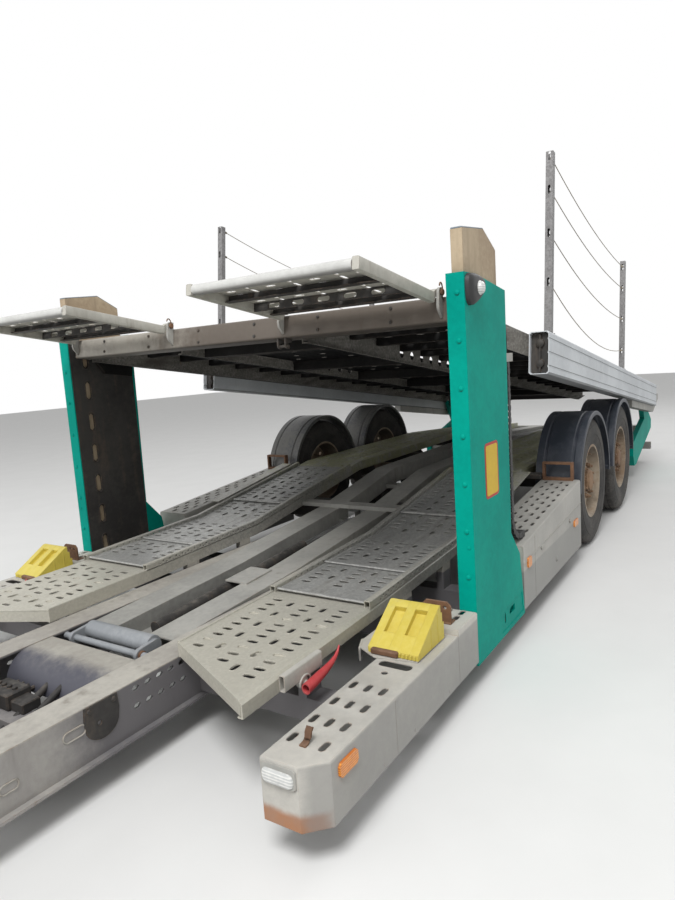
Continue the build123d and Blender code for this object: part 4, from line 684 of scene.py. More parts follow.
def punchedSlots(front, rear, low=0.0, high=1.0, cuts=()):
    # slots between two stations of a track, clear of the bends, and how far each edge stands up
    holes, lips = [], []
    for across, first, apart, turn in trackLook["columns"]:
        row = first
        while trackLook["firstSlot"] - row * trackLook["pitch"] > rear:
            u = trackLook["firstSlot"] - row * trackLook["pitch"]
            hole = moved(slotOutline(*trackLook["slot"], turn), u, across)
            near = any(abs(hole[0][0] - cut) < trackLook["clear"] for cut in cuts)
            if u < front and low < across < high and not near:
                holes.append(hole)
                lips.append(trackLook["lip"] if turn == 0 else 0.0)
            row += apart
    return holes, lips


def addSideRail(shape, line, side, inner, look):
    # folded rail: a top strip and two webs with small staggered holes
    front, rear, rise, width = look["railFront"], look["railRear"], look["railRise"], look["railWidth"]
    wall = look["railSheet"]
    top = [(0.0, rise - 0.004), (0.004, rise), (width - 0.004, rise), (width, rise - 0.004),
           (width - wall, rise - 0.005), (wall, rise - 0.005)]
    alongLine(shape, line, side, inner, top, front, rear)
    cuts = kinks(line, front, rear)
    for v, out in ((0.0, -1), (width, 1)):
        def place(u, height, w, v=v, out=out):
            return Vector((u, side * (inner + v + out * w), lineZ(line, u) + height))
        holes = []
        u = rear + 0.03
        count = 0
        while u < front - 0.03:
            height = 0.006 if count % 2 else 0.017
            if not any(abs(u - cut) < 0.02 for cut in cuts):
                holes.append(moved(ring(look["railHole"], 8), u, height))
            u += look["railPitch"] / 2
            count += 1
        outline = [(rear, -0.002), (front, -0.002), (front, rise - 0.004), (rear, rise - 0.004)]
        addSheet(shape, outline, holes, place, wall, cuts)


def addTrack(shape, side, look):
    front, rear, width = look["front"], look["rear"], look["width"]
    inner = trackInner

    def place(u, v, w):
        return Vector((u, side * (inner + v), lineZ(trackLine, u) + w))
    cuts = kinks(trackLine, front, rear)
    holes, lips = punchedSlots(front, look["railFront"] + 0.03)
    more, moreLips = punchedSlots(look["railRear"] - 0.03, rear + 0.05, cuts=cuts)
    holes += more
    lips += moreLips
    slope = look["skew"] / width
    outline = [(rear, 0.004), (front - look["skew"] + 0.004 * slope, 0.004),
               (front - 0.014 * slope, width - 0.014), (rear, width - 0.014)]
    addSheet(shape, outline, holes, place, look["sheet"], cuts, lips)
    # inner edge with its bead, outer edge with its sloping fold
    bead = [(0.0, -0.060), (0.0, 0.002), (0.003, 0.005), (0.009, 0.005), (0.012, 0.001), (0.006, -0.006),
            (0.006, -0.055), (0.020, -0.055), (0.020, -0.060)]
    alongLine(shape, trackLine, side, inner, bead, front - look["skew"], rear)
    fold = [(width - 0.016, -0.0005), (width - 0.013, 0.0005), (width, -0.013), (width, -0.060),
            (width - 0.022, -0.060), (width - 0.022, -0.055), (width - 0.006, -0.055),
            (width - 0.006, -0.014), (width - 0.016, -0.006)]
    alongLine(shape, trackLine, side, inner, fold, front - 0.002, rear)
    # oblique front flange, and the end flange
    start = Vector((front - look["skew"], side * (inner + 0.004), 0))
    end = Vector((front - 0.003, side * (inner + width - 0.010), 0))
    across = (end - start).normalized()
    back = Vector((-abs(across.y), side * across.x, 0)) * 0.005
    rings = []
    for spot, drop in ((start, 0.056), (end, 0.052)):
        z = lineZ(trackLine, spot.x)
        rings.append([spot + Vector((0, 0, z - 0.001)), spot + Vector((0, 0, z - drop)),
                      spot + back + Vector((0, 0, z - drop)), spot + back + Vector((0, 0, z - 0.005))])
    loft(shape, rings)
    z = lineZ(trackLine, rear)
    addSideBox(shape, side, (rear, rear + 0.006), (inner + 0.006, inner + width - 0.006),
               (z - 0.058, z - 0.003), 0.001)
    for offset in (0.0, width - look["railWidth"]):
        addSideRail(shape, trackLine, side, inner + offset, look)
    # stiffening ribs under the tray
    for station in look["ribs"]:
        end = station + look["ribLength"]
        z = min(lineZ(trackLine, station), lineZ(trackLine, end)) - look["sheet"]
        addSideBox(shape, side, (station, end), (inner + 0.006, inner + width - 0.008),
                   (z - 0.034, z + 0.001), 0.002)


def addLoosePlate(shape, side, front, rear, look):
    # thin punched plate, its front edge rolled and lifted onto the plate before it
    inner = trackInner
    low, high = trackLook["railWidth"] + 0.001, trackLook["width"] - trackLook["railWidth"] - 0.001

    def place(u, v, w):
        lift = look["lift"] * (u - rear) / (front - rear)
        return Vector((u, side * (inner + v), lineZ(trackLine, u) + lift + look["sheet"] + 0.0008 + w))
    cuts = kinks(trackLine, front, rear)
    holes, lips = punchedSlots(front - 0.045, rear + 0.045, low + 0.03, high - 0.03, cuts)
    outline = [(rear, low), (front, low), (front, high), (rear, high)]
    addSheet(shape, outline, holes, place, look["sheet"], cuts, lips)
    roll = look["roll"]
    rings = []
    for v in (low + 0.002, high - 0.002):
        rings.append([place(front - 0.002 + roll * math.cos(a), v,
                            roll * 0.25 + roll * 0.75 * math.sin(a) - 0.002)
                      for a in (math.tau * i / 10 for i in range(10))])
    loft(shape, rings)
    # raised seams along both sides
    for v in (low + 0.012, high - 0.012):
        outlineBar = [(-0.004, -0.001), (0.004, -0.001), (0.002, 0.003), (-0.002, 0.003)]
        stations = [front - 0.02] + cuts + [rear + 0.02]
        loft(shape, [[place(x, v + dv, w) for dv, w in outlineBar] for x in stations])


makePiece(addTrack, trackLook, "track_trays", "chassis", "trackZinc", ("lower_tracks",))
shape = bmesh.new()
for side in (1, -1):
    for front, rear in plateLook["ends"]:
        addLoosePlate(shape, side, front, rear, plateLook)
finishPiece(shape, "loose_plates", "chassis", "plateZinc", ("track_plates",))
print("tracks made")

# Front side boxes: folded skirts, punched tops with raised slot edges, a step before the post
boxLook = {
    "front": post + 1.155, "rear": post + 0.002, "inner": 1.080, "outer": halfWidth, "chamfer": 0.066,
    "low": 0.114, "top": 0.310, "stepX": post + 0.200, "stepTop": 0.332, "sheet": 0.005,
    "slot": (0.052, 0.021), "slotXs": (0.700, 0.815, 0.930, 1.040), "slotEdges": (0.053, 0.109, 0.165),
    "bigSlot": (0.126, 0.044), "bigSlotX": 0.517, "bigSlotEdge": 0.104, "roundHole": 0.012,
    "roundHoleX": 0.582, "seamX": post + 0.710,
}


def addSkirt(shape, path, section):
    # a folded strip that follows a path on the ground plan: the section gives outward offset and height
    rings = []
    for i, spot in enumerate(path):
        spot = Vector(spot)
        before = (spot - Vector(path[i - 1])).normalized() if i else None
        after = (Vector(path[i + 1]) - spot).normalized() if i + 1 < len(path) else None
        before = before or after
        after = after or before
        normal = Vector((before.y, -before.x)) + Vector((after.y, -after.x))
        normal = normal / (1 + before.dot(after))
        rings.append([Vector((spot.x + normal.x * n, spot.y + normal.y * n, z)) for n, z in section])
    loft(shape, rings)


def skirtSection(low, top, wall=0.005, lip=0.018):
    return [(-0.007, top), (-0.002, top - 0.0015), (0.0, top - 0.006), (0.0, low + 0.003), (-0.003, low),
            (-lip, low), (-lip, low + wall), (-wall, low + wall), (-wall, top - 0.006),
            (-0.007, top - wall)]


def addFrontBox(shape, side, look):
    inner, outer, cut = look["inner"], look["outer"], look["chamfer"]
    corners = [(look["rear"], inner), (look["front"], inner), (look["front"], outer - cut),
               (look["front"] - cut, outer), (look["rear"], outer)]
    path = [(x, side * y) for x, y in corners]
    addSkirt(shape, path if side > 0 else path[::-1], skirtSection(look["low"], look["top"]))

    def flat(z):
        return lambda u, v, w: Vector((u, side * (inner + v), z + w))
    width = outer - inner
    edge = 0.0065
    outline = [(look["stepX"] - 0.004, edge), (look["front"] - edge, edge),
               (look["front"] - edge, width - cut - 0.003), (look["front"] - cut - 0.003, width - edge),
               (look["stepX"] - 0.004, width - edge)]
    holes, lips = [], []
    for x in look["slotXs"]:
        for gap in look["slotEdges"]:
            if (x, gap) != (look["slotXs"][3], look["slotEdges"][1]):
                holes.append(moved(slotOutline(*look["slot"], 0), post + x, width - gap))
                lips.append(0.0016)
    big = rounded(look["bigSlot"][1], look["bigSlot"][0], 0.018, 4)
    holes.append(moved(big, post + look["bigSlotX"], width - look["bigSlotEdge"]))
    holes.append(moved(ring(look["roundHole"], 14), post + look["roundHoleX"],
                       width - look["bigSlotEdge"] - 0.008))
    lips += [0.0, 0.0]
    addSheet(shape, outline, holes, flat(look["top"]), look["sheet"], (), lips)
    # step: its own folded cover, a little proud of the box
    step = [(look["rear"], inner), (look["stepX"], inner), (look["stepX"], outer + 0.001),
            (look["rear"], outer + 0.001)]
    path = [(x, side * y) for x, y in step]
    addSkirt(shape, path if side > 0 else path[::-1],
             skirtSection(look["low"] + 0.004, look["stepTop"], 0.005, 0.012))
    holes = [moved(slotOutline(*look["slot"], 0), post + 0.060 + dx, width - 0.081 + dy)
             for dx in (-0.030, 0.030) for dy in (-0.028, 0.028)]
    outline = [(look["rear"], edge), (look["stepX"] - edge, edge), (look["stepX"] - edge, width - edge),
               (look["rear"], width - edge)]
    addSheet(shape, outline, holes, flat(look["stepTop"]), look["sheet"], (), [0.0016] * 4)
    # joint strip on the outer side, and bolts
    addSideBox(shape, side, (look["seamX"] - 0.009, look["seamX"] + 0.009), (outer - 0.002, outer + 0.0016),
               (look["low"] + 0.006, look["top"] - 0.008), 0.001)
    for x in (look["front"] - 0.35, look["seamX"] - 0.12, look["stepX"] + 0.10):
        addBall(shape, (x, side * (outer - 0.0005), look["low"] + 0.020), (0, side, 0), 0.006, 0.003, 8, 2)
    # inner web with its stiffening fold
    addSideBox(shape, side, (look["rear"], look["front"] - 0.09), (inner - 0.003, inner), (0.205, 0.216),
               0.001)


makePiece(addFrontBox, boxLook, "front_box_shells", "chassis", "boxPaint", ("front_boxes",))

# Rear side boxes: sloping punched covers over straight sides
rearBoxLook = {"front": post - 0.632, "rear": post - 1.836, "inner": 1.030, "low": 0.114, "topFront": 0.435,
               "topRear": 0.542, "slot": (0.050, 0.016), "rows": 11, "pitch": 0.107, "middle": post - 1.198,
               "columns": 4, "spread": 0.047, "edge": 0.120, "seam": post - 0.830}


def addRearBox(shape, side, look):
    outer = halfWidth
    fall = (look["topRear"] - look["topFront"]) / (look["front"] - look["rear"])

    def topZ(x):
        return look["topFront"] + (look["front"] - x) * fall

    def cover(u, v, w):
        return Vector((u, side * (look["inner"] + v), topZ(u) + w))
    width = outer - look["inner"]
    outline = [(look["rear"], 0.008), (look["front"], 0.008), (look["front"], width - 0.010),
               (look["rear"], width - 0.010)]
    holes = []
    for row in range(look["rows"]):
        for column in range(look["columns"]):
            rowsBack = row - (look["rows"] - 1) / 2
            u = look["middle"] + rowsBack * look["pitch"] + (0.030 if column % 2 else -0.018)
            v = width - look["edge"] + (column - (look["columns"] - 1) / 2) * look["spread"]
            if look["rear"] + 0.04 < u < look["front"] - 0.04:
                holes.append(moved(slotOutline(*look["slot"], 0), u, v))
    addSheet(shape, outline, holes, cover, 0.005, (), [0.0014] * len(holes))
    # side walls with folded rims; the outer one also has a lengthwise seam and an upright joint
    for y, out in ((outer, 1), (look["inner"], -1)):
        rings = []
        for x in (look["front"], look["rear"]):
            z = topZ(x)
            section = [(-0.011, z), (-0.003, z - 0.002), (0.0, z - 0.010), (0.0, look["low"]),
                       (-0.016, look["low"]), (-0.016, look["low"] + 0.005), (-0.005, look["low"] + 0.005),
                       (-0.005, z - 0.010), (-0.011, z - 0.005)]
            rings.append([Vector((x, side * (y + out * n), h)) for n, h in section])
        loft(shape, rings)
    y = side * outer
    rings = []
    for x in (look["front"] - 0.001, look["rear"] + 0.001):
        z = 0.345 if x > look["rear"] + 0.5 else 0.396
        rings.append([Vector((x, y - side * 0.002, z - 0.005)), Vector((x, y + side * 0.0018, z - 0.004)),
                      Vector((x, y + side * 0.0018, z + 0.004)), Vector((x, y - side * 0.002, z + 0.005))])
    loft(shape, rings)
    addSideBox(shape, side, (look["seam"] - 0.008, look["seam"] + 0.008), (outer - 0.002, outer + 0.0016),
               (look["low"] + 0.004, topZ(look["seam"]) - 0.012), 0.001)
    for x in (look["front"] - 0.006, look["rear"]):
        addSideBox(shape, side, (x, x + 0.006), (look["inner"] + 0.006, outer - 0.006),
                   (look["low"] + 0.01, topZ(x + 0.006) - 0.005), 0.001)
    # latch and two hinges of the locker door in the side
    for x in (look["front"] - 0.35, look["rear"] + 0.25):
        addSideBox(shape, side, (x, x + 0.05), (outer, outer + 0.006), (0.335, 0.357), 0.002)
        addRod(shape, (x - 0.004, y + side * 0.004, 0.346), (x + 0.054, y + side * 0.004, 0.346), 0.004, 10,
               0.001)
    x = (look["front"] + look["rear"]) / 2
    addLathe(shape, (x, y, 0.20), (0, side, 0),
             [(0, 0.017), (0.003, 0.017), (0.004, 0.012), (0.007, 0.011)], 16)


makePiece(addRearBox, rearBoxLook, "rear_box_shells", "chassis", "boxPaint", ("rear_boxes",))

# Chocks: moulded wedges with two deep recesses, stepped backs and toothed front lips
chockLook = {"rear": post + 0.245, "base": 0.316, "length": 0.225, "height": 0.136, "lip": 0.020,
             "back": 0.036, "inner": 1.033, "width": 0.205, "recessDepth": 0.020, "recessFrom": 0.13,
             "recessTo": 0.66}


def easedLevels(outline, near, far, edge):
    # the outline at each level between two distances, drawn in a little at both rims
    middleU = sum(u for u, v in outline) / len(outline)
    middleV = sum(v for u, v in outline) / len(outline)
    share = 1 - edge / max(math.hypot(u - middleU, v - middleV) for u, v in outline)
    eased = [(middleU + (u - middleU) * share, middleV + (v - middleV) * share) for u, v in outline]
    return (near, eased), (near + edge, outline), (far - edge, outline), (far, eased)


def addProfile(shape, outline, side, near, far, edge):
    # a side outline drawn in x and z, run across between two distances
    levels = easedLevels(outline, near, far, edge)
    loft(shape, [[Vector((x, side * y, z)) for x, z in points] for y, points in levels])


def addChock(shape, side, look):
    x0, z0 = look["rear"], look["base"]
    tip = (look["back"], look["height"])
    toe = (look["length"], look["lip"])
    length = math.hypot(tip[0] - toe[0], tip[1] - toe[1])
    down = ((toe[0] - tip[0]) / length, (toe[1] - tip[1]) / length)
    within = (down[1], -down[0])
    steps = [(0.024, look["height"]), (0.024, 0.104), (0.012, 0.104), (0.012, 0.064), (0.0, 0.064),
             (0.0, 0.0)]

    def onSlope(share, depth):
        return (tip[0] + down[0] * length * share + within[0] * depth,
                tip[1] + down[1] * length * share + within[1] * depth)
    full = [tip] + steps + [(look["length"], 0.0), toe]
    deep = look["recessDepth"]
    a, b = look["recessFrom"], look["recessTo"]
    notched = [tip] + steps + [(look["length"], 0.0), toe, onSlope(b, 0), onSlope(b - 0.02, deep),
                               onSlope(a + 0.02, deep), onSlope(a, 0)]
    bands = ((0.0, 0.034, full), (0.034, 0.084, notched), (0.084, 0.121, full), (0.121, 0.171, notched),
             (0.171, 0.205, full))
    for near, far, outline in bands:
        placed = [(x0 + u, z0 + w) for u, w in outline]
        addProfile(shape, placed, side, look["inner"] + near, look["inner"] + far,
                   0.0006 if outline is notched else 0.0018)
    for tooth in range(13):
        y = look["inner"] + 0.008 + tooth * 0.0148
        addSideBox(shape, side, (x0 + look["length"] - 0.001, x0 + look["length"] + 0.004), (y, y + 0.0085),
                   (z0 + 0.001, z0 + 0.017), 0.001)
    # upright ribs on both flanks
    for y in (look["inner"] - 0.0018, look["inner"] + look["width"] - 0.0012):
        for rear, front, top in ((0.050, 0.056, 0.112), (0.110, 0.116, 0.078)):
            addSideBox(shape, side, (x0 + rear, x0 + front), (y, y + 0.003), (z0 + 0.006, z0 + top), 0.001)


makePiece(addChock, chockLook, "moulded_chocks", "chassis", "yellowPaint",
          ("wheel_chocks",))

# Plates under the chocks, and the rusty lugs and stops about them
lugLook = {"plateTop": 0.316, "lugX": post + 0.160, "lugInner": 1.110, "lugOuter": 1.230, "lugTop": 0.422}


def addFlat(shape, outline, low, high):
    # an outline on the ground plan, run up between two heights
    levels = easedLevels(outline, low, high, 0.001)
    loft(shape, [[Vector((x, y, z)) for x, y in points] for z, points in levels])


shape = bmesh.new()
for side in (1, -1):
    corners = [(0.235, 1.235), (0.470, 1.235), (0.476, 1.200), (0.498, 1.072), (0.452, 0.990),
               (0.380, 0.960), (0.235, 0.960)]
    addFlat(shape, [(post + x, side * y) for x, y in corners], 0.3095, lugLook["plateTop"])
    fold = [(0.452, 0.990), (0.380, 0.960), (0.384, 0.953), (0.456, 0.983)]
    addFlat(shape, [(post + x, side * y) for x, y in fold], 0.262, lugLook["plateTop"])
finishPiece(shape, "chock_plates", "chassis", "boxPaint", ("chock_lugs",))

shape = bmesh.new()
for side in (1, -1):
    # upright lug with three holes on its foot
    def upright(u, v, w, side=side):
        return Vector((lugLook["lugX"] + w, side * (lugLook["lugInner"] + u), boxLook["stepTop"] + v))
    width = lugLook["lugOuter"] - lugLook["lugInner"]
    height = lugLook["lugTop"] - boxLook["stepTop"]
    outline = [(0, 0), (width, 0), (width, height - 0.016), (width - 0.016, height), (0.016, height),
               (0, height - 0.016)]
    holes = [moved(ring(0.0075, 12), u, height - 0.024) for u in (0.024, width / 2, width - 0.024)]
    addSheet(shape, outline, holes, upright, 0.009)
    addSideBox(shape, side, (lugLook["lugX"] - 0.045, lugLook["lugX"] + 0.002),
               (lugLook["lugInner"], lugLook["lugOuter"]), (0.3315, 0.339), 0.002)
    # rusty strap across the chock's toe
    addSideBox(shape, side, (post + 0.462, post + 0.484), (1.050, 1.160), (lugLook["plateTop"], 0.338),
               0.004)
    # bent stop ahead
    y = side * 1.166
    rings = []
    for x, z, turn in ((1.070, 0.311, 0.0), (1.052, 0.314, 0.5), (1.040, 0.324, 1.2), (1.036, 0.340, 1.6),
                       (1.026, 0.350, 2.3)):
        offset = Vector((-math.sin(turn), 0, math.cos(turn))) * 0.0035
        corners = ((1, 0.011), (1, -0.011), (-1, -0.011), (-1, 0.011))
        rings.append([Vector((post + x, y + dy, z)) + offset * sign for sign, dy in corners])
    loft(shape, rings)
finishPiece(shape, "rusty_lugs", "chassis", "rustySteel", ("chock_lugs",))

# Nose lamps: oval-shouldered lenses in dark bezels
shape = bmesh.new()
bezels = bmesh.new()
for side in (1, -1):
    middleY = side * (boxLook["inner"] + (halfWidth - boxLook["chamfer"] - boxLook["inner"]) / 2)
    for into, size, corner, rows in (
            (bezels, (0.121, 0.062), 0.012, ((-0.002, 1.0), (0.004, 1.0), (0.006, 0.97))),
            (shape, (0.108, 0.042), 0.016, ((0.0, 1.0), (0.009, 0.99), (0.0125, 0.93), (0.014, 0.82)))):
        lift = 0.266 if into is shape else 0.270
        outline = rounded(*size, corner, 4)
        rings = [[Vector((boxLook["front"] + x, middleY + u * s, lift + v * s)) for u, v in outline]
                 for x, s in rows]
        loft(into, rings)
finishPiece(shape, "nose_lenses", "chassis", "whiteLens", ("marker_lamps",))
finishPiece(bezels, "nose_bezels", "chassis", "greyPaint")

# Clamp sleeves on the tracks' front ends, with their red levers
clampLook = {
    "rear": post + 0.638, "front": post + 0.856, "low": 0.316, "high": 0.374, "out": 0.024,
    "bossX": post + 0.747, "bossZ": 0.303,
    # columns of the lever's rings: ahead of the post, height, half across, half up
    "lever": ((0.742, 0.303, 0.012, 0.0125), (0.778, 0.300, 0.0135, 0.0145), (0.778, 0.300, 0.0185, 0.0200),
              (0.740, 0.303, 0.0185, 0.0195), (0.700, 0.309, 0.0165, 0.0180),
              (0.660, 0.315, 0.0135, 0.0155), (0.625, 0.322, 0.0100, 0.0125),
              (0.596, 0.333, 0.0070, 0.0100), (0.575, 0.349, 0.0050, 0.0075),
              (0.565, 0.366, 0.0030, 0.0040)),
}


def addClamp(shape, levers, side, look):
    y0 = trackOuter + 0.0005
    outer = rounded(look["out"], look["high"] - look["low"], 0.006, 3)
    inner = rounded(look["out"] - 0.007, look["high"] - look["low"] - 0.007, 0.004, 3)
    middle = (y0 + look["out"] / 2, (look["low"] + look["high"]) / 2)
    rings = []
    for x, points in ((look["rear"], inner), (look["rear"], outer), (look["front"], outer),
                      (look["front"], inner)):
        rings.append([Vector((x, side * (middle[0] + u), middle[1] + v)) for u, v in points])
    loft(shape, rings, True)
    # boss, pin and hook that carry the lever
    x, z = look["bossX"], look["bossZ"]
    addLathe(shape, (x, side * (trackOuter + 0.002), z), (0, side, 0),
             [(0, 0.021), (0.020, 0.021), (0.022, 0.019)], 18)
    addRod(shape, (x, side * (trackOuter + 0.018), z), (x, side * (trackOuter + 0.062), z), 0.011, 14)
    rings = []
    for k in range(9):
        angle = math.radians(-20 + 27 * k)
        middleRing = Vector((x + 0.030 * math.cos(angle), side * (trackOuter + 0.026),
                             z + 0.004 + 0.024 * math.sin(angle)))
        out = Vector((math.cos(angle), 0, math.sin(angle)))
        rings.append([middleRing + out * 0.004 * c + Vector((0, 0.004 * s, 0)) for c, s in ring(1.0, 8)])
    loft(shape, rings)
    rings = []
    base = side * (trackOuter + 0.050)
    for dx, z, ry, rz in look["lever"]:
        rings.append([Vector((post + dx, base + ry * c, z + rz * s)) for c, s in ring(1.0, 16)])
    loft(levers, rings)


shape = bmesh.new()
levers = bmesh.new()
for side in (1, -1):
    addClamp(shape, levers, side, clampLook)
finishPiece(shape, "clamp_sleeves", "chassis", "boxPaint", ("track_clamps",))
finishPiece(levers, "red_levers", "chassis", "redLever", ("clamp_levers",))
print("side boxes made")

# Upper deck: its own slope, measured back along it from the front beam's face
deck = {
    "frontX": post - 0.050, "frontZ": 1.610, "slope": math.atan(0.128), "inner": 0.400, "outer": 1.165,
    "web": 0.120, "sheet": 0.006, "trayStart": 0.100, "tailRun": 0.300, "beamLength": 0.100,
    "beamDepth": 0.105, "beamHalf": 1.185, "pitch": 0.0533, "slot": (0.052, 0.023),
    # columns: distance from the inner edge, first row, rows apart, turn
    "columns": ((0.080, 0, 1, 90), (0.180, 0.5, 2, 0), (0.280, 0, 1, 90), (0.383, 1.5, 2, 0),
                (0.485, 0, 1, 90), (0.585, 0.5, 2, 0), (0.685, 0, 1, 90)),
    "webHoles": (1.469, 0.140, 6, 0.026), "lip": 0.030, "ribPitch": 0.285, "ribDepth": 0.044,
}
deck["length"] = (deck["frontX"] - tail - 0.139) / math.cos(deck["slope"])


def deckPoint(back, across, height=0.0):
    c, s = math.cos(deck["slope"]), math.sin(deck["slope"])
    return Vector((deck["frontX"] - back * c - height * s, across, deck["frontZ"] - back * s + height * c))


def deckBar(shape, outline, side, inner, stations):
    # a bar down the deck: its outline is drawn across, first column outwards, second up;
    # columns of the stations: distance back, lift
    loft(shape, [[deckPoint(back, side * (inner + v), w + lift) for v, w in outline]
                 for back, lift in stations])


def deckCross(shape, outline, start, end):
    # a bar across the deck: its outline is drawn along, first column back, second up
    loft(shape, [[deckPoint(back, y, height) for back, height in outline] for y in (start, end)])


def addDeckTray(shape, side, look):
    inner, width, sheet = look["inner"], look["outer"] - look["inner"], look["sheet"]
    length, start = look["length"], look["trayStart"]
    holes = []
    for across, first, apart, turn in look["columns"]:
        row = first
        while start + 0.07 + row * look["pitch"] < length - 0.05:
            holes.append(moved(slotOutline(*look["slot"], turn), start + 0.07 + row * look["pitch"],
                               across))
            row += apart

    def top(u, v, w):
        return deckPoint(u, side * (inner + v), w)
    addSheet(shape, [(start, 0.003), (length, 0.003), (length, width - 0.003), (start, width - 0.003)],
             holes, top, sheet)
    middle, pitch, count, radius = look["webHoles"]
    for v, holed, out in ((0.0, True, -1), (width, False, 1)):
        def web(u, height, w, v=v, out=out):
            return deckPoint(u, side * (inner + v + out * w), height)
        rounds = [moved(ring(radius, 16), middle + (i - (count - 1) / 2) * pitch, -look["web"] / 2)
                  for i in range(count) if holed]
        outline = [(start, -look["web"]), (length - look["tailRun"], -look["web"]),
                   (length, -look["web"] / 2), (length, -0.0008), (start, -0.0008)]
        addSheet(shape, outline, rounds, web, 0.005)
    # turned-in lips under both webs
    low = -look["web"]
    stations = [(start, 0.0), (length - look["tailRun"], 0.0), (length - 0.004, look["web"] / 2)]
    for v, way in ((0.001, 1), (width - 0.001, -1)):
        far = v + way * look["lip"]
        outline = [(v, low - 0.0005), (far, low - 0.0005), (far, low + 0.0045), (v, low + 0.0045)]
        deckBar(shape, outline, side, inner, stations)


makePiece(addDeckTray, deck, "deck_trays", "upper_deck", "deckZinc", ("deck_tracks",))

# Punched sheets that close the middle of the deck, on its cross members
middleLook = {"half": 0.398, "drop": 0.0565, "start": 0.105, "end": deck["length"] - 0.66, "sheet": 0.004,
              "rowPitch": 0.160, "slot": (0.040, 0.014),
              "rows": ((-0.20, 0.0, 0.20), (-0.30, -0.10, 0.10, 0.30))}


def addMiddleSheet(shape, look):
    start, end, half = look["start"], look["end"], look["half"]
    holes = []
    row = 0
    while start + 0.12 + row * look["rowPitch"] < end - 0.06:
        for v in look["rows"][row % 2]:
            holes.append(moved(slotOutline(*look["slot"], 90), start + 0.12 + row * look["rowPitch"], v))
        row += 1

    def place(u, v, w):
        return deckPoint(u, v, -look["drop"] + w)
    addSheet(shape, [(start, -half), (end, -half), (end, half), (start, half)], holes, place, look["sheet"])


shape = bmesh.new()
addMiddleSheet(shape, middleLook)
finishPiece(shape, "deck_middle_sheets", "upper_deck", "deckZinc")

# Ribs under the trays
shape = bmesh.new()
for side in (1, -1):
    back = 0.235
    while back < deck["length"] - 0.35:
        depth = deck["ribDepth"]
        channel = [(back, -0.0065), (back + 0.004, -0.0065), (back + 0.004, -depth), (back + 0.034, -depth),
                   (back + 0.034, -depth - 0.004), (back, -depth - 0.004)]
        deckCross(shape, channel, side * 0.4055, side * 1.1595)
        back += deck["ribPitch"]
finishPiece(shape, "deck_ribs", "upper_deck", "shadeAndSootSteel")

# Front beam: rolled channel with end plates, a row of screws and the catch under it
beamLook = {"corner": 0.014, "endPlate": 0.006, "screws": (-0.92, -0.55, -0.18, 0.19, 0.56, 0.93),
            "catchY": 0.350}
shape = bmesh.new()
length, depth, half = deck["beamLength"], deck["beamDepth"], deck["beamHalf"]
outline = moved(rounded(length, depth, beamLook["corner"], 4), length / 2, -depth / 2)
deckCross(shape, outline, -half + beamLook["endPlate"], half - beamLook["endPlate"])
for side in (1, -1):
    plate = moved(rounded(length, depth, 0.006, 2), length / 2, -depth / 2)
    deckCross(shape, plate, side * (half - beamLook["endPlate"] + 0.0002), side * half)
finishPiece(shape, "front_beam_shell", "upper_deck", "beamPaint", ("deck_front_beam",))
shape = bmesh.new()
face = Vector((math.cos(deck["slope"]), 0, math.sin(deck["slope"])))
for y in beamLook["screws"]:
    for height in (-0.024, -0.082):
        addLathe(shape, deckPoint(0.002, y, height), face, [(0, 0.008), (0.006, 0.008), (0.008, 0.006)], 6)
y = beamLook["catchY"]
hook = [(0.004, -depth), (0.006, -depth - 0.032), (0.016, -depth - 0.045), (0.034, -depth - 0.045),
        (0.040, -depth - 0.036), (0.026, -depth - 0.034), (0.020, -depth - 0.022), (0.052, -depth - 0.012),
        (0.056, -depth)]
for gap in (-0.026, 0.018):
    deckCross(shape, hook, y + gap, y + gap + 0.008)
addRod(shape, deckPoint(0.020, y - 0.032, -depth - 0.035), deckPoint(0.020, y + 0.034, -depth - 0.035),
       0.007)
finishPiece(shape, "beam_catch", "upper_deck", "darkSteel")
print("deck trays and beam made")

# Side beams: hollow sections in lengths, with grooves along them and cast caps in their open ends
sideBeamLook = {
    "inner": 1.165, "outer": 1.275, "start": 1.149, "end": deck["length"] - 0.440, "rise": 0.012,
    "fall": 0.220, "corner": 0.010, "wall": 0.005, "joints": (2.512, 3.905), "gap": 0.003, "groove": 0.003,
    "grooves": (-0.030, -0.104, -0.178),
}


def beamOutline(look, inset=0.0, grooved=True):
    # columns: across from the inner face, height; the outer face carries shallow grooves
    width, corner = look["outer"] - look["inner"], look["corner"]
    low, high = -look["fall"] + inset, look["rise"] - inset
    points = [(inset + corner, low), (width - inset - corner, low), (width - inset, low + corner)]
    if grooved:
        for height in sorted(look["grooves"]):
            points += [(width - inset, height - 0.006), (width - inset - look["groove"], height - 0.004),
                       (width - inset - look["groove"], height + 0.004), (width - inset, height + 0.006)]
    points += [(width - inset, high - corner), (width - inset - corner, high), (inset + corner, high),
               (inset, high - corner), (inset, low + corner)]
    return points


def addSideBeam(shape, side, look, start, end):
    outside = beamOutline(look)
    inside = beamOutline(look, look["wall"])
    rings = [[deckPoint(back, side * (look["inner"] + v), w) for v, w in outline]
             for outline, back in ((inside, start), (outside, start), (outside, end), (inside, end))]
    loft(shape, rings, True)


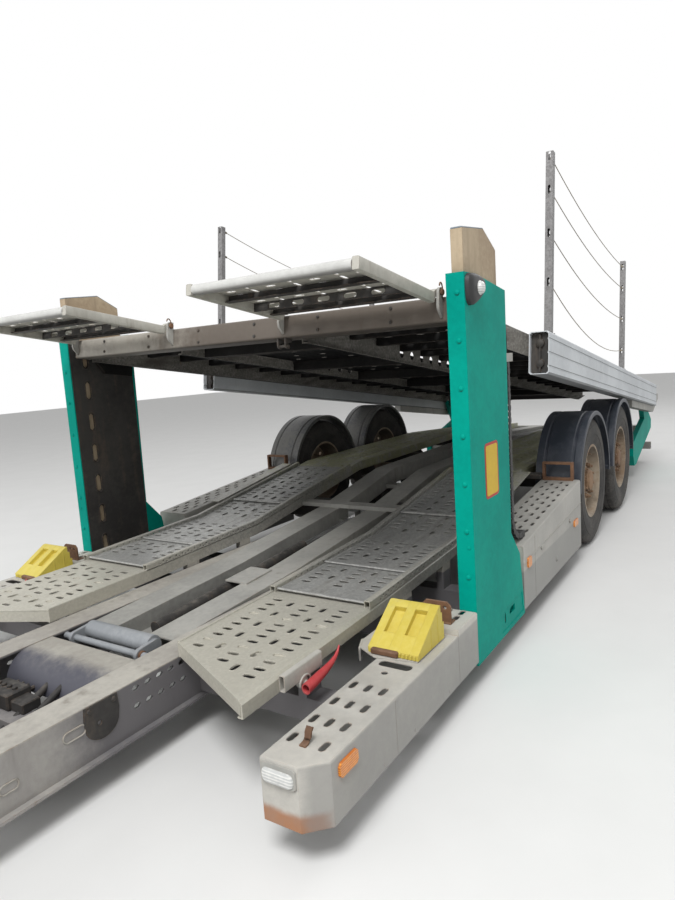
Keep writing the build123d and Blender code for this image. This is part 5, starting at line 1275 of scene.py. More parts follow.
shape = bmesh.new()
sleeves = bmesh.new()
caps = bmesh.new()
for side in (1, -1):
    ends = [sideBeamLook["start"], *sideBeamLook["joints"], sideBeamLook["end"]]
    for start, end in zip(ends, ends[1:]):
        addSideBeam(shape, side, sideBeamLook, start, end - (sideBeamLook["gap"] if end != ends[-1] else 0))
    for joint in sideBeamLook["joints"]:
        inner = beamOutline(sideBeamLook, sideBeamLook["wall"] + 0.0004, False)
        deckBar(sleeves, inner, side, sideBeamLook["inner"], [(joint - 0.05, 0), (joint + 0.05, 0)])
    # cast cap set back in the open front end: a rim with a cross rib and two bosses
    cap = beamOutline(sideBeamLook, sideBeamLook["wall"] + 0.0005, False)
    start = sideBeamLook["start"]
    deckBar(caps, cap, side, sideBeamLook["inner"], [(start + 0.030, 0), (start + 0.036, 0)])
    for height in (-0.050, -0.160):
        middle = deckPoint(start + 0.031, side * (sideBeamLook["inner"] + 0.055), height)
        addLathe(caps, middle, face, [(0, 0.024), (0.014, 0.022), (0.020, 0.012), (0.022, 0.005)], 16)
    rib = [(0.050, -0.206), (0.060, -0.206), (0.060, -0.002), (0.050, -0.002)]
    deckBar(caps, rib, side, sideBeamLook["inner"], [(start + 0.016, 0), (start + 0.031, 0)])
finishPiece(shape, "side_beam_sections", "upper_deck", "whiteBeam", ("side_beams",))
finishPiece(sleeves, "side_beam_sleeves", "upper_deck", "darkSteel")
finishPiece(caps, "side_beam_caps", "upper_deck", "darkSteel")

# Stanchions with rope slots, and the guard ropes that sag between them
ropeLook = {
    "backs": (1.299, 3.589), "heights": (1.010, 0.920), "y": 1.230, "half": 0.020, "wall": 0.004,
    "radius": 0.0026,
    # columns: height up the first stanchion, up the second, sag
    "runs": ((0.985, 0.870, 0.055), (0.800, 0.690, 0.060), (0.560, 0.430, 0.075), (0.290, 0.165, 0.120)),
}


def addStanchion(shape, side, back, height, heights, look):
    # four folded walls, the two across the ropes pierced by upright slots
    half, foot = look["half"], sideBeamLook["rise"] + 0.0003
    for way in (1, -1):
        def across(u, v, w, way=way):
            return deckPoint(back + way * (half + w), side * look["y"] + v, foot + u)
        slots = [moved(rounded(0.050, 0.014, 0.0069, 3), rise, 0.0) for rise in heights]
        addSheet(shape, [(0.0, -half), (height, -half), (height, half), (0.0, half)], slots, across,
                 look["wall"])

        def along(u, v, w, way=way):
            return deckPoint(back + v, side * look["y"] + way * (half + w), foot + u)
        edge = half - look["wall"] - 0.0002
        addSheet(shape, [(0.0, -edge), (height, -edge), (height, edge), (0.0, edge)], [], along,
                 look["wall"])
    base = deckPoint(back, side * look["y"], foot)
    for way in (1, -1):
        addBox(shape, base + Vector((way * 0.032 - 0.012, -0.026, -0.001)),
               base + Vector((way * 0.032 + 0.012, 0.026, 0.007)), 0.002)


shape = bmesh.new()
for side in (1, -1):
    for number, (back, height) in enumerate(zip(ropeLook["backs"], ropeLook["heights"])):
        addStanchion(shape, side, back, height, [run[number] for run in ropeLook["runs"]], ropeLook)
finishPiece(shape, "slotted_stanchions", "upper_deck", "postZinc", ("stanchions",))


def addRope(shape, side, look, run):
    # wire rope: a tube along the hanging line, with a ferrule at each end
    first, second, sag = run
    foot = sideBeamLook["rise"]
    count = 18
    path = []
    for i in range(count + 1):
        share = i / count
        back = look["backs"][0] + 0.021 + (look["backs"][1] - look["backs"][0] - 0.042) * share
        path.append(deckPoint(back, side * look["y"],
                              foot + first + (second - first) * share - sag * 4 * share * (1 - share)))
    rings = []
    for i, spot in enumerate(path):
        way = path[min(i + 1, count)] - path[max(i - 1, 0)]
        across, up = frameAlong(way)
        rings.append([spot + across * u + up * v for u, v in ring(look["radius"], 8)])
    loft(shape, rings)
    for spot, way in ((path[0], path[1] - path[0]), (path[-1], path[-2] - path[-1])):
        addRod(shape, spot - way.normalized() * 0.004, spot + way.normalized() * 0.034, 0.008, 10)


shape = bmesh.new()
for side in (1, -1):
    for run in ropeLook["runs"]:
        addRope(shape, side, ropeLook, run)
finishPiece(shape, "guard_ropes", "upper_deck", "ropeWire")
print("side beams and guard ropes made")

# Loading flaps: tube across the front, boxed side rails, a punched sheet and a slotted flange beneath
flapLook = {
    "ahead": 0.020, "up": 0.012, "rise": math.radians(0.9), "inner": 0.375, "outer": 1.150, "start": 0.022,
    "length": 0.605, "depth": 0.045, "rail": 0.028, "tube": 0.021, "tubeWall": 0.003, "knuckle": 0.016,
    "pin": 0.0092, "sheet": 0.004, "earPlate": 0.012, "earGap": 0.004, "earRadius": 0.020,
    "slot": (0.052, 0.021), "columns": (0.085, 0.180, 0.285, 0.3875, 0.490, 0.595, 0.690), "rows": 8,
    "rowPitch": 0.0615, "hook": ((0.0, 0.004), (0.004, 0.024), (0.014, 0.036), (0.026, 0.034),
                                 (0.031, 0.022)),
}


def flapPoint(u, across, height=0.0):
    hinge = deckPoint(-flapLook["ahead"], 0.0, flapLook["up"])
    turn = deck["slope"] + flapLook["rise"]
    c, s = math.cos(turn), math.sin(turn)
    return Vector((hinge.x + u * c - height * s, across, hinge.z + u * s + height * c))


def addFlap(shape, side, look):
    inner, outer = look["inner"], look["outer"]
    width, depth, rail = outer - inner, look["depth"], look["rail"]
    front = look["length"] - 2 * look["tube"]

    def top(u, v, w):
        return flapPoint(u, side * (inner + v), w - 0.003)
    holes = []
    for column, v in enumerate(look["columns"]):
        for row in range(look["rows"]):
            u = 0.072 + row * look["rowPitch"] + (0.030 if column % 2 else 0.0)
            if u < front - 0.035:
                holes.append(moved(slotOutline(*look["slot"], 0 if column % 2 else 90), u, v))
    low, high = rail + 0.0005, width - rail - 0.0005
    addSheet(shape, [(look["start"], low), (front + 0.006, low), (front + 0.006, high),
                     (look["start"], high)], holes, top, look["sheet"])
    for v in (0.0, width - rail):
        # boxed rail with rounded edges
        outline = moved(rounded(rail, depth - 0.001, 0.005, 2), v + rail / 2, -depth / 2)
        stations = (0.026, look["length"] - 0.004)
        loft(shape, [[flapPoint(u, side * (inner + y), w) for y, w in outline] for u in stations])
        # knuckle round the pin
        addTube(shape, flapPoint(0.0, side * (inner + v)), (0, side, 0), rail, look["pin"] + 0.001,
                look["knuckle"])
        cheek = [(0.009, 0.013), (0.030, -0.001), (0.030, -depth + 0.002), (0.009, -0.0135)]
        loft(shape, [[flapPoint(u, side * (inner + v + y), w) for u, w in cheek]
                     for y in (0.001, rail - 0.001)])


def addFlapFront(shape, side, look):
    # open tube across the front
    u, height = look["length"] - look["tube"], -look["tube"] - 0.001
    start = flapPoint(u, side * (look["inner"] + look["rail"] + 0.001), height)
    end = flapPoint(u, side * (look["outer"] - look["rail"] - 0.001), height)
    addTube(shape, start, end - start, (end - start).length, look["tube"] - look["tubeWall"], look["tube"])


def addFlapBrace(shape, side, look):
    # flange across the underside with oval holes, and two plain ribs
    inner, outer, rail = look["inner"], look["outer"], look["rail"]
    middle = (inner + outer) / 2

    def flange(u, v, w):
        return flapPoint(0.235 + w, side * (middle + u), v)
    holes = [moved(rounded(0.060, 0.020, 0.0098, 4), (k - 2) * 0.125, -0.026) for k in range(5)]
    half = (outer - inner) / 2 - rail - 0.002
    addSheet(shape, [(-half, -0.044), (half, -0.044), (half, -0.0085), (-half, -0.0085)], holes, flange,
             0.004)
    for u in (0.100, 0.390):
        channel = [(u, -0.0085), (u + 0.004, -0.0085), (u + 0.004, -0.034), (u + 0.026, -0.034),
                   (u + 0.026, -0.038), (u, -0.038)]
        ends = (side * (middle - half), side * (middle + half))
        loft(shape, [[flapPoint(a, y, b) for a, b in channel] for y in ends])


for side, name in ((1, "left"), (-1, "right")):
    body = "flap_" + name
    makePiece(addFlap, flapLook, "flap_pan_" + name, body, "flapPaint", (body,), (side,))
    makePiece(addFlapFront, flapLook, "flap_tube_" + name, body, "tubePaint", (), (side,))
    makePiece(addFlapBrace, flapLook, "flap_brace_" + name, body, "darkSteel", (), (side,))


def addEar(shape, pins, side, inner, pinWay, look):
    plate, radius = look["earPlate"], look["earRadius"]
    outline = [(radius * math.cos(a) + look["ahead"], radius * math.sin(a) + look["up"])
               for a in (math.radians(d) for d in (100, 80, 60, 40, 20, 0))]
    outline += [(look["ahead"] + radius, -0.040), (look["ahead"] + radius - 0.006, -0.058),
                (0.0005, -0.088), (0.0005, look["up"] + radius)]
    loft(shape, [[deckPoint(-u, side * y, w) for u, w in outline] for y in (inner, inner + plate)])
    # pin with a head, and its bent retaining hook
    middle = deckPoint(-look["ahead"], side * (inner + plate / 2), look["up"])
    way = Vector((0, side * pinWay, 0))
    reach = plate / 2 + look["earGap"] + look["rail"] - 0.004
    addRod(pins, middle, middle + way * reach, look["pin"] - 0.0005)
    addLathe(pins, middle - way * (plate / 2 + 0.010), way, [(0, 0.011), (0.003, 0.014), (0.0098, 0.014)],
             16)
    hook = [middle - way * 0.013 + Vector((dx, 0, dz)) for dx, dz in look["hook"]]
    for a, b in zip(hook, hook[1:]):
        addRod(pins, a, b, 0.0030, 8)


shape = bmesh.new()
pins = bmesh.new()
for side in (1, -1):
    addEar(shape, pins, side, flapLook["inner"] - flapLook["earGap"] - flapLook["earPlate"], 1, flapLook)
    addEar(shape, pins, side, flapLook["outer"] + flapLook["earGap"], -1, flapLook)
finishPiece(shape, "flap_ear_plates", "upper_deck", "greyPaint", ("flap_ears",))
finishPiece(pins, "flap_pins", "upper_deck", "rustySteel")
print("flaps made")

# Wheels: grooved tyres, and the nuts, hub rings and valves on the rims
wheelLook = {
    "y": 1.130, "radius": wheelR, "sides": 96, "lug": 0.009,
    "nuts": 10, "nutCircle": 0.113, "face": 0.068,
}
# half of a tyre's section: columns: distance from its middle, radius
tyreHalf = [
    (0.007, 0.4450), (0.020, 0.4448), (0.0215, 0.4340), (0.0295, 0.4340), (0.031, 0.4445), (0.058, 0.4435),
    (0.0595, 0.4330), (0.0675, 0.4330), (0.069, 0.4425), (0.098, 0.4390), (0.110, 0.4300), (0.118, 0.4140),
    (0.1235, 0.3950), (0.1245, 0.3880), (0.127, 0.3860), (0.128, 0.3560), (0.1275, 0.3280),
    (0.1250, 0.3250), (0.122, 0.3000), (0.1175, 0.2780), (0.114, 0.2680), (0.116, 0.2600), (0.112, 0.2530),
    (0.106, 0.2506),
]


def addTyre(shape, axleX, side, look):
    section = [(-y, r) for y, r in reversed(tyreHalf)] + tyreHalf
    rings = []
    for y, radius in section:
        row = []
        for i in range(look["sides"]):
            r = radius
            if abs(y) > 0.068 and radius > 0.412 and i % 3 == 0:
                r -= look["lug"]      # shoulder blocks
            turn = math.tau * i / look["sides"]
            row.append(Vector((axleX + r * math.sin(turn), side * look["y"] + y,
                               look["radius"] - r * math.cos(turn))))
        rings.append(row)
    loft(shape, rings, True)


def addWheelTrim(shape, axleX, side, look):
    way = Vector((0, side, 0))
    hub = Vector((axleX, side * (look["y"] + look["face"]), look["radius"]))
    for i in range(look["nuts"]):
        turn = math.tau * (i + 0.5) / look["nuts"]
        spot = hub + Vector((look["nutCircle"] * math.cos(turn), 0, look["nutCircle"] * math.sin(turn)))
        addLathe(shape, spot - way * 0.0005, way,
                 [(0, 0.0175), (0.003, 0.0175), (0.0035, 0.0145), (0.021, 0.0145), (0.024, 0.011)], 6)
        addLathe(shape, spot + way * 0.0235, way, [(0, 0.0085), (0.012, 0.0085), (0.014, 0.006)], 10)
    # turned hub cap over the plain one: a stepped skirt and a dished end
    addLathe(shape, hub + way * 0.0003, way,
             [(0, 0.086), (0.006, 0.086), (0.009, 0.079), (0.026, 0.0775), (0.030, 0.0715),
                                             (0.037, 0.0690), (0.041, 0.060), (0.043, 0.044),
                                             (0.0415, 0.020), (0.0415, 0.004)], 30)
    spot = Vector((axleX, side * (look["y"] + 0.058), look["radius"] + 0.205))
    addRod(shape, spot, spot + way * 0.052 + Vector((0, 0, -0.020)), 0.0045, 8)


tyreNumber = 0
for row, axleX in zip(("front", "rear"), axleXs):
    for side, flank in ((1, "left"), (-1, "right")):
        body = "wheel_%s_%s" % (row, flank)
        shape = bmesh.new()
        addTyre(shape, axleX, side, wheelLook)
        finishPiece(shape, "tread_%s_%s" % (row, flank), body, "tyreRubber",
                    ("tyre_%s_%s" % (row, flank),), 28.0)
        shape = bmesh.new()
        addWheelTrim(shape, axleX, side, wheelLook)
        finishPiece(shape, "wheel_nuts_%s_%s" % (row, flank), body, "hubRust")

# Mudguards: moulded arches with a groove near each edge and a turned-in outer lip
guardLook = {
    "inner": 0.985, "outer": halfWidth, "radius": 0.490, "wall": 0.005, "lip": 0.462, "steps": 40,
    # columns: lowest and highest x of each stay
    "stays": ((-0.290, -0.200), (-1.385, -1.230), (-2.415, -2.325)), "stayY": (0.9203, 1.045),
    "stayZ": (0.545, 0.577),
}


def guardSection(look):
    # columns: distance out, radius
    out, wall, top = look["outer"], look["wall"], look["radius"]
    outerFace = [(look["inner"], look["lip"] + 0.004), (look["inner"], top - 0.003),
                 (look["inner"] + 0.003, top), (1.030, top), (1.035, top - 0.005), (1.048, top - 0.005),
                 (1.053, top), (1.206, top), (1.211, top - 0.005), (1.224, top - 0.005), (1.229, top),
                 (out - 0.006, top), (out - 0.001, top - 0.004), (out, top - 0.010), (out, look["lip"]),
                 (out - 0.004, look["lip"] - 0.002)]
    innerFace = [(out - 0.005, look["lip"] + 0.002), (out - 0.005, top - 0.011), (out - 0.008, top - wall),
                 (1.231, top - wall), (1.226, top - 0.0102), (1.209, top - 0.0102), (1.204, top - wall),
                 (1.055, top - wall), (1.050, top - 0.0102), (1.033, top - 0.0102), (1.028, top - wall),
                 (look["inner"] + 0.005, top - wall - 0.002), (look["inner"] + 0.005, look["lip"] + 0.006)]
    return outerFace + innerFace


def addGuard(shape, axleX, side, look):
    rings = []
    for i in range(look["steps"] + 1):
        turn = math.pi * i / look["steps"]
        rings.append([Vector((axleX + r * math.cos(turn), side * y, wheelR + r * math.sin(turn)))
                      for y, r in guardSection(look)])
    loft(shape, rings)
    # thickened ends with two bolts each
    for way in (1, -1):
        x = axleX + way * (look["radius"] - 0.002)
        low = min(x, x - way * 0.012)
        addSideBox(shape, side, (low, low + 0.012), (0.992, 1.266), (wheelR - 0.0005, wheelR + 0.030),
                   0.003)
        for y in (1.070, 1.190):
            addLathe(shape, (x - way * 0.0015, side * y, wheelR + 0.016), (way, 0, 0),
                     [(0, 0.009), (0.0020, 0.009), (0.0040, 0.006)], 8)


shape = bmesh.new()
for axleX in axleXs:
    for side in (1, -1):
        addGuard(shape, axleX, side, guardLook)
finishPiece(shape, "moulded_mudguards", "chassis", "guardPlastic", ("mudguards",))
shape = bmesh.new()
for side in (1, -1):
    for low, high in guardLook["stays"]:
        addSideBox(shape, side, (low, high), guardLook["stayY"], guardLook["stayZ"], 0.004)
finishPiece(shape, "mudguard_stays", "chassis", "darkSteel")
print("wheels and mudguards made")

# Posts: rivets down the front, lamps on the flanks, a plain warning panel, rims round the guide slots
postLook = {
    "rivetY": 1.245, "rivets": (1.612, 1.428, 1.242, 1.052, 0.859, 0.666, 0.475, 0.285),
    "rivetRadius": 0.011, "rivetRise": 0.006, "lampX": post - 0.094, "lampZ": 1.630, "lampProud": 0.028,
    "lensRadius": 0.025,
    # half outline of the lamp's base about its middle: columns: ahead, up
    "base": ((0.090, 0.026), (0.070, 0.056), (0.010, 0.058), (-0.066, 0.048), (-0.092, 0.020),
             (-0.074, -0.016), (0.010, -0.058), (0.056, -0.072), (0.086, -0.050)),
    # rear, front, low, high of the panel
    "panel": (post - 0.312, post - 0.154, 0.766, 1.002), "guideSlotX": post - 0.110,
    "guideSlots": (0.930, 0.190, 7), "guideSlot": (0.034, 0.110), "guideFace": 1.200, "screwZ": 0.600,
}


def smoothOutline(points, rounds=2):
    # corner cutting turns a coarse outline into a rounded one
    for _ in range(rounds):
        cut = []
        for (xa, ya), (xb, yb) in zip(points, points[1:] + points[:1]):
            cut += [(xa * 0.75 + xb * 0.25, ya * 0.75 + yb * 0.25),
                    (xa * 0.25 + xb * 0.75, ya * 0.25 + yb * 0.75)]
        points = cut
    return points


def addPostLamp(base, glass, side, look):
    outline = smoothOutline(list(look["base"]))
    rings = []
    for out, share in ((-0.001, 1.0), (look["lampProud"] * 0.55, 0.97), (look["lampProud"] * 0.85, 0.86),
                       (look["lampProud"], 0.70)):
        rings.append([Vector((look["lampX"] + u * share, side * (halfWidth + out),
                              look["lampZ"] + v * share)) for u, v in outline])
    loft(base, rings)
    r, proud = look["lensRadius"], look["lampProud"]
    profile = [(0, r * 1.12), (0.005, r * 1.12), (0.007, r), (0.013, r * 0.95), (0.018, r * 0.78),
               (0.0205, r * 0.45), (0.021, r * 0.05)]
    addLathe(glass, (look["lampX"] - 0.002, side * (halfWidth + proud - 0.0035), look["lampZ"]),
             (0, side, 0), profile, 24)


rivets = bmesh.new()
base = bmesh.new()
glass = bmesh.new()
for side in (1, -1):
    for z in postLook["rivets"]:
        addBall(rivets, (post, side * postLook["rivetY"], z), (1, 0, 0), postLook["rivetRadius"],
                postLook["rivetRise"])
    addLathe(rivets, (post - 0.0005, side * 1.252, postLook["screwZ"]), (1, 0, 0),
             [(0, 0.008), (0.003, 0.008), (0.004, 0.005)], 6)
    addPostLamp(base, glass, side, postLook)
finishPiece(rivets, "post_rivets", "chassis", "greenPaint")
finishPiece(base, "post_lamp_bases", "chassis", "blackPlastic")
finishPiece(glass, "post_lamp_glasses", "chassis", "whiteLens")

# bare warning panel on the left post: red edge, yellow field
rear, front, low, high = postLook["panel"]
for name, finish, slot, inset, corner, levels in (
        ("warning_panel_edge", "panelRed", "red_paint", 0.0, 0.020, (-0.0005, 0.0012)),
        ("warning_panel_field", "panelYellow", "yellow_paint", 0.022, 0.012, (0.0010, 0.0020))):
    shape = bmesh.new()
    outline = rounded(front - rear - inset, high - low - inset, corner, 4)
    outline = moved(outline, (front + rear) / 2, (low + high) / 2)
    loft(shape, [[Vector((u, halfWidth + out, v)) for u, v in outline] for out in levels])
    finishPiece(shape, name, "chassis", finish)

# pressed rims round the guide plates' slots
shape = bmesh.new()
start, step, count = postLook["guideSlots"]
for side in (1, -1):
    for k in range(count):
        z = start - 3 * step + k * step
        wide, tall = postLook["guideSlot"]
        rings = []
        for grow, out in ((0.002, 0.0), (0.014, 0.0), (0.012, 0.0035), (0.004, 0.0035)):
            outline = rounded(wide + grow, tall + grow, (wide + grow) / 2 - 0.0002, 5)
            rings.append([Vector((postLook["guideSlotX"] + u, side * (postLook["guideFace"] - out), z + v))
                          for u, v in outline])
        loft(shape, rings, True)
finishPiece(shape, "guide_slot_rims", "chassis", "darkSteel")
print("posts dressed")

# Lift masts: a blue-grey cap over each top
mastLook = {"front": post - 0.030, "rear": post - 0.400, "inner": 1.2155, "outer": 1.2615,
            "bend": post - 0.260, "tops": (1.857, 1.880, 1.810), "cap": 0.006}


def addMastCap(shape, side, look):
    inner, outer, cap = look["inner"], look["outer"], look["cap"]
    section = [(inner, 0.0003), (outer, 0.0003), (outer, cap - 0.002), (outer - 0.003, cap),
               (inner + 0.003, cap), (inner, cap - 0.002)]
    line = zip((look["front"], look["bend"], look["rear"]), look["tops"])
    loft(shape, [[Vector((x, side * y, z + w)) for y, w in section] for x, z in line])


for side, flank in ((1, "left"), (-1, "right")):
    makePiece(addMastCap, mastLook, "mast_cap_" + flank, "mast_" + flank, "capPaint", (),
              (side,))

# Hose chain: open links with a slot between their bars, hoses inside, on the left only
chainLook = {
    "x": post - 0.600, "y": halfWidth - 0.068, "top": 1.330, "width": 0.070, "depth": 0.030, "bend": 0.110,
    "foot": 0.060, "boxFront": (post - 0.632, 0.435), "boxRear": (post - 1.836, 0.542), "links": 34,
    "plate": 0.005, "bar": 0.016, "hoses": (-0.020, -0.002, 0.016), "hoseRadius": 0.0075,
}


def chainStation(share, look):
    # point on the chain's middle line, and its heading
    slope = (look["boxRear"][1] - look["boxFront"][1]) / (look["boxRear"][0] - look["boxFront"][0])
    bendX = look["x"] - look["bend"]
    bendZ = look["boxFront"][1] + slope * (bendX - look["boxFront"][0]) + look["depth"] / 2 + 0.012
    drop = look["top"] - bendZ - look["bend"]
    arc = math.pi / 2 * look["bend"]
    total = drop + arc + look["foot"]
    run = share * total
    if run < drop:
        return Vector((look["x"], look["y"], look["top"] - run)), Vector((0, 0, -1)), total
    if run < drop + arc:
        turn = (run - drop) / look["bend"]
        middle = Vector((bendX, look["y"], bendZ + look["bend"]))
        return (middle + Vector((look["bend"] * math.cos(turn), 0, -look["bend"] * math.sin(turn))),
                Vector((-math.sin(turn), 0, -math.cos(turn))), total)
    return Vector((bendX - (run - drop - arc), look["y"], bendZ)), Vector((-1, 0, 0)), total


def addChain(shape, hoses, look):
    half, deep, plate = look["width"] / 2, look["depth"] / 2, look["plate"]
    total = chainStation(0, look)[2]
    pitch = total / look["links"]
    across = Vector((0, 1, 0))
    for link in range(look["links"]):
        spot, way, _ = chainStation((link + 0.5) / look["links"], look)
        out = across.cross(way).normalized()
        inset = 0.0 if link % 2 else 0.0012
        for sign in (1, -1):
            outline = smoothOutline([(-pitch * 0.60, -deep), (pitch * 0.60, -deep), (pitch * 0.60, deep),
                                     (-pitch * 0.60, deep)], 2)
            side = across * sign
            loft(shape, [[spot + side * (half - inset - depth) + way * u + out * v for u, v in outline]
                         for depth in (0.0, plate - inset)])
            bar = rounded(look["bar"], 0.0045, 0.002, 2)
            middle = spot + out * sign * (deep - 0.0030)
            loft(shape, [[middle + across * reach + way * u + out * v for u, v in bar]
                         for reach in (-half + plate * 0.5, half - plate * 0.5)])
    for offset in look["hoses"]:
        rings = []
        for step in range(25):
            spot, way, _ = chainStation(step / 24, look)
            out = across.cross(way).normalized()
            rings.append([spot + across * (offset + u) + out * v for u, v in ring(look["hoseRadius"], 8)])
        loft(hoses, rings)
    # foot on the box
    spot = chainStation(1.0, look)[0]
    addBox(shape, (spot.x, spot.y - half, spot.z - deep - 0.006),
           (spot.x + 0.058, spot.y + half, spot.z - deep + 0.003), 0.002)


shape = bmesh.new()
hoses = bmesh.new()
addChain(shape, hoses, chainLook)
finishPiece(shape, "chain_links", "chassis", "blackPlastic", ("hose_chain",))
finishPiece(hoses, "chain_hoses", "chassis", "hoseRubber")
# clamped hose tails between the bracket and the post
tailLook = {"count": 5, "pitch": 0.013, "foot": 1.3715, "lift": 0.105, "end": post - 0.478,
            "radius": 0.0058, "steps": 5}


def smoothPath(path, steps):
    # more points along a smooth line through the given ones
    fine = []
    for i in range(len(path) - 1):
        a = path[max(i - 1, 0)]
        b, c = path[i], path[i + 1]
        d = path[min(i + 2, len(path) - 1)]
        for step in range(steps):
            t = step / steps
            fine.append(0.5 * ((2 * b) + (c - a) * t + (2 * a - 5 * b + 4 * c - d) * t * t
                               + (3 * b - a - 3 * c + d) * t ** 3))
    return fine + [path[-1]]


def addTail(shape, k, look):
    x, z = chainLook["x"], look["foot"]
    y = chainLook["y"] - 0.026 + look["pitch"] * k
    lift = look["lift"] + 0.012 * (k % 3)
    path = smoothPath([Vector(spot) for spot in (
        (x + 0.002 * k, y, z), (x + 0.002 * k, y, z + lift * 0.6), (x + 0.022, y, z + lift),
        (x + 0.070, y, z + lift + 0.008), (look["end"], y, z + lift - 0.020))], look["steps"])
    across = Vector((0, 1, 0))
    rings = []
    for i, spot in enumerate(path):
        way = path[min(i + 1, len(path) - 1)] - path[max(i - 1, 0)]
        up = across.cross(way).normalized()
        rings.append([spot + across * u + up * v for u, v in ring(look["radius"], 8)])
    loft(shape, rings)


shape = bmesh.new()
for k in range(tailLook["count"]):
    addTail(shape, k, tailLook)
finishPiece(shape, "hose_tails", "chassis", "hoseRubber")
print("masts and chain made")

# Drawbar: hanging plates and pressings on the rails' webs, pins, pipes, the valve gear and its hoses
drawbarLook = {
    "web": 0.400, "floor": 0.140, "plateX": (post + 1.096, post + 1.227), "plateTop": 0.312,
    "plateLow": 0.182, "plateHole": (post + 1.174, 0.241, 0.008),
    # columns: rear, front, low, high of each pressed oval
    "pressings": ((post + 1.228, post + 1.305, 0.235, 0.263), (post + 1.465, post + 1.519, 0.192, 0.215)),
    "rollerPins": (post + 0.828, 0.292, 0.2145), "pipes": ((0.075, 0.268), (-0.005, 0.262)),
    "pipeRadius": 0.013, "pipeEnds": (post + 1.075, post + 1.330),
    "valve": (post + 1.400, -0.100, 0.150, 0.190, 0.110), "box": (post + 1.480, 0.090, 0.090, 0.080, 0.110),
    "base": (post + 1.270, post + 1.570, -0.3225, 0.2025, 0.1283, 0.140),
}


def addWebPlate(shape, side, look):
    rear, front = look["plateX"]
    top, low = look["plateTop"], look["plateLow"]
    middle, half = (rear + front) / 2, (front - rear) / 2
    outline = [(rear, top), (front, top), (front + 0.004, top - 0.05)]
    outline += [(middle + half * math.cos(a), low + 0.055 - 0.055 * math.sin(a))
                for a in (math.pi * k / 12 for k in range(13))]
    outline += [(rear - 0.004, top - 0.05)]

    def place(u, v, w):
        return Vector((u, side * (look["web"] + 0.0042 + w), v))
    x, z, radius = look["plateHole"]
    addSheet(shape, outline, [moved(ring(radius, 14), x, z)], place, 0.004)
    for x in (rear + 0.016, front - 0.016):
        addLathe(shape, (x, side * (look["web"] + 0.0040), top - 0.016), (0, side, 0),
                 [(0, 0.009), (0.004, 0.009), (0.006, 0.006)], 6)


def addPressing(shape, side, oval, look):
    # raised rim of a pressed oval
    rear, front, low, high = oval
    rings = []
    for grow, out in ((0.0, 0.0002), (0.0, 0.0018), (0.004, 0.0030), (0.009, 0.0030), (0.012, 0.0002)):
        outline = rounded(front - rear + grow, high - low + grow, (high - low + grow) / 2 - 0.0004, 5)
        rings.append([Vector(((front + rear) / 2 + u, side * (look["web"] + out), (low + high) / 2 + v))
                      for u, v in outline])
    loft(shape, rings, True)


shape = bmesh.new()
rims = bmesh.new()
for side in (1, -1):
    addWebPlate(shape, side, drawbarLook)
    for oval in drawbarLook["pressings"]:
        addPressing(rims, side, oval, drawbarLook)
finishPiece(shape, "web_plates", "chassis", "darkSteel")
finishPiece(rims, "web_pressings", "chassis", "railPaint")

shape = bmesh.new()
x, z, y = drawbarLook["rollerPins"]
for side in (1, -1):
    addLathe(shape, (x, side * y, z), (0, side, 0),
             [(-0.002, 0.019), (0.006, 0.019), (0.009, 0.015), (0.010, 0.007)], 18)
finishPiece(shape, "roller_pins", "chassis", "rustySteel")

# two pipes from under the bow down to the valve plate, and the gear on it
shape = bmesh.new()
rear, front = drawbarLook["pipeEnds"]
for y, z in drawbarLook["pipes"]:
    addRod(shape, (rear - 0.045, y, z + 0.010), (front - 0.045, y - 0.010, 0.152),
           drawbarLook["pipeRadius"])
base = drawbarLook["base"]
plateOutline = rounded(base[1] - base[0], base[3] - base[2], 0.010, 2)
plateOutline = moved(plateOutline, (base[0] + base[1]) / 2, (base[2] + base[3]) / 2)
loft(shape, [[Vector((u, v, z)) for u, v in plateOutline] for z in base[4:]])
x, y, length, width, height = drawbarLook["valve"]
floor = drawbarLook["floor"] + 0.0003
addBox(shape, (x - length / 2, y - width / 2, floor),
       (x + length / 2, y + width / 2, floor + height * 0.62), 0.006)
for k in range(4):
    spot = Vector((x - 0.045 + 0.030 * k, y - 0.010, floor + height * 0.62 - 0.001))
    addLathe(shape, spot, (0, 0, 1),
             [(0, 0.0115), (0.022, 0.0115), (0.024, 0.0085), (0.034, 0.0085), (0.036, 0.006)], 14)
    addLathe(shape, Vector((spot.x, y + width / 2 - 0.001, floor + 0.030)), (0, 1, 0),
             [(0, 0.010), (0.010, 0.010), (0.011, 0.0075), (0.020, 0.0075)], 6)
finishPiece(shape, "valve_gear", "chassis", "darkSteel", ("valve_block",))
shape = bmesh.new()
x, y, length, width, height = drawbarLook["box"]
addBox(shape, (x - length / 2, y - width / 2, floor),
       (x + length / 2, y + width / 2, floor + height - 0.010), 0.004)
addBox(shape, (x - length / 2 - 0.004, y - width / 2 - 0.004, floor + height - 0.012),
       (x + length / 2 + 0.004, y + width / 2 + 0.004, floor + height), 0.003)
finishPiece(shape, "terminal_box", "chassis", "rustySteel")


def smoothLine(name, points, resolution):
    curve = bpy.data.curves.new(name, "CURVE")
    curve.dimensions = "3D"
    curve.resolution_u = resolution
    spline = curve.splines.new("NURBS")
    spline.points.add(len(points) - 1)
    for spot, point in zip(spline.points, points):
        spot.co = (*point, 1.0)
    spline.order_u = 3
    spline.use_endpoint_u = True
    return curve


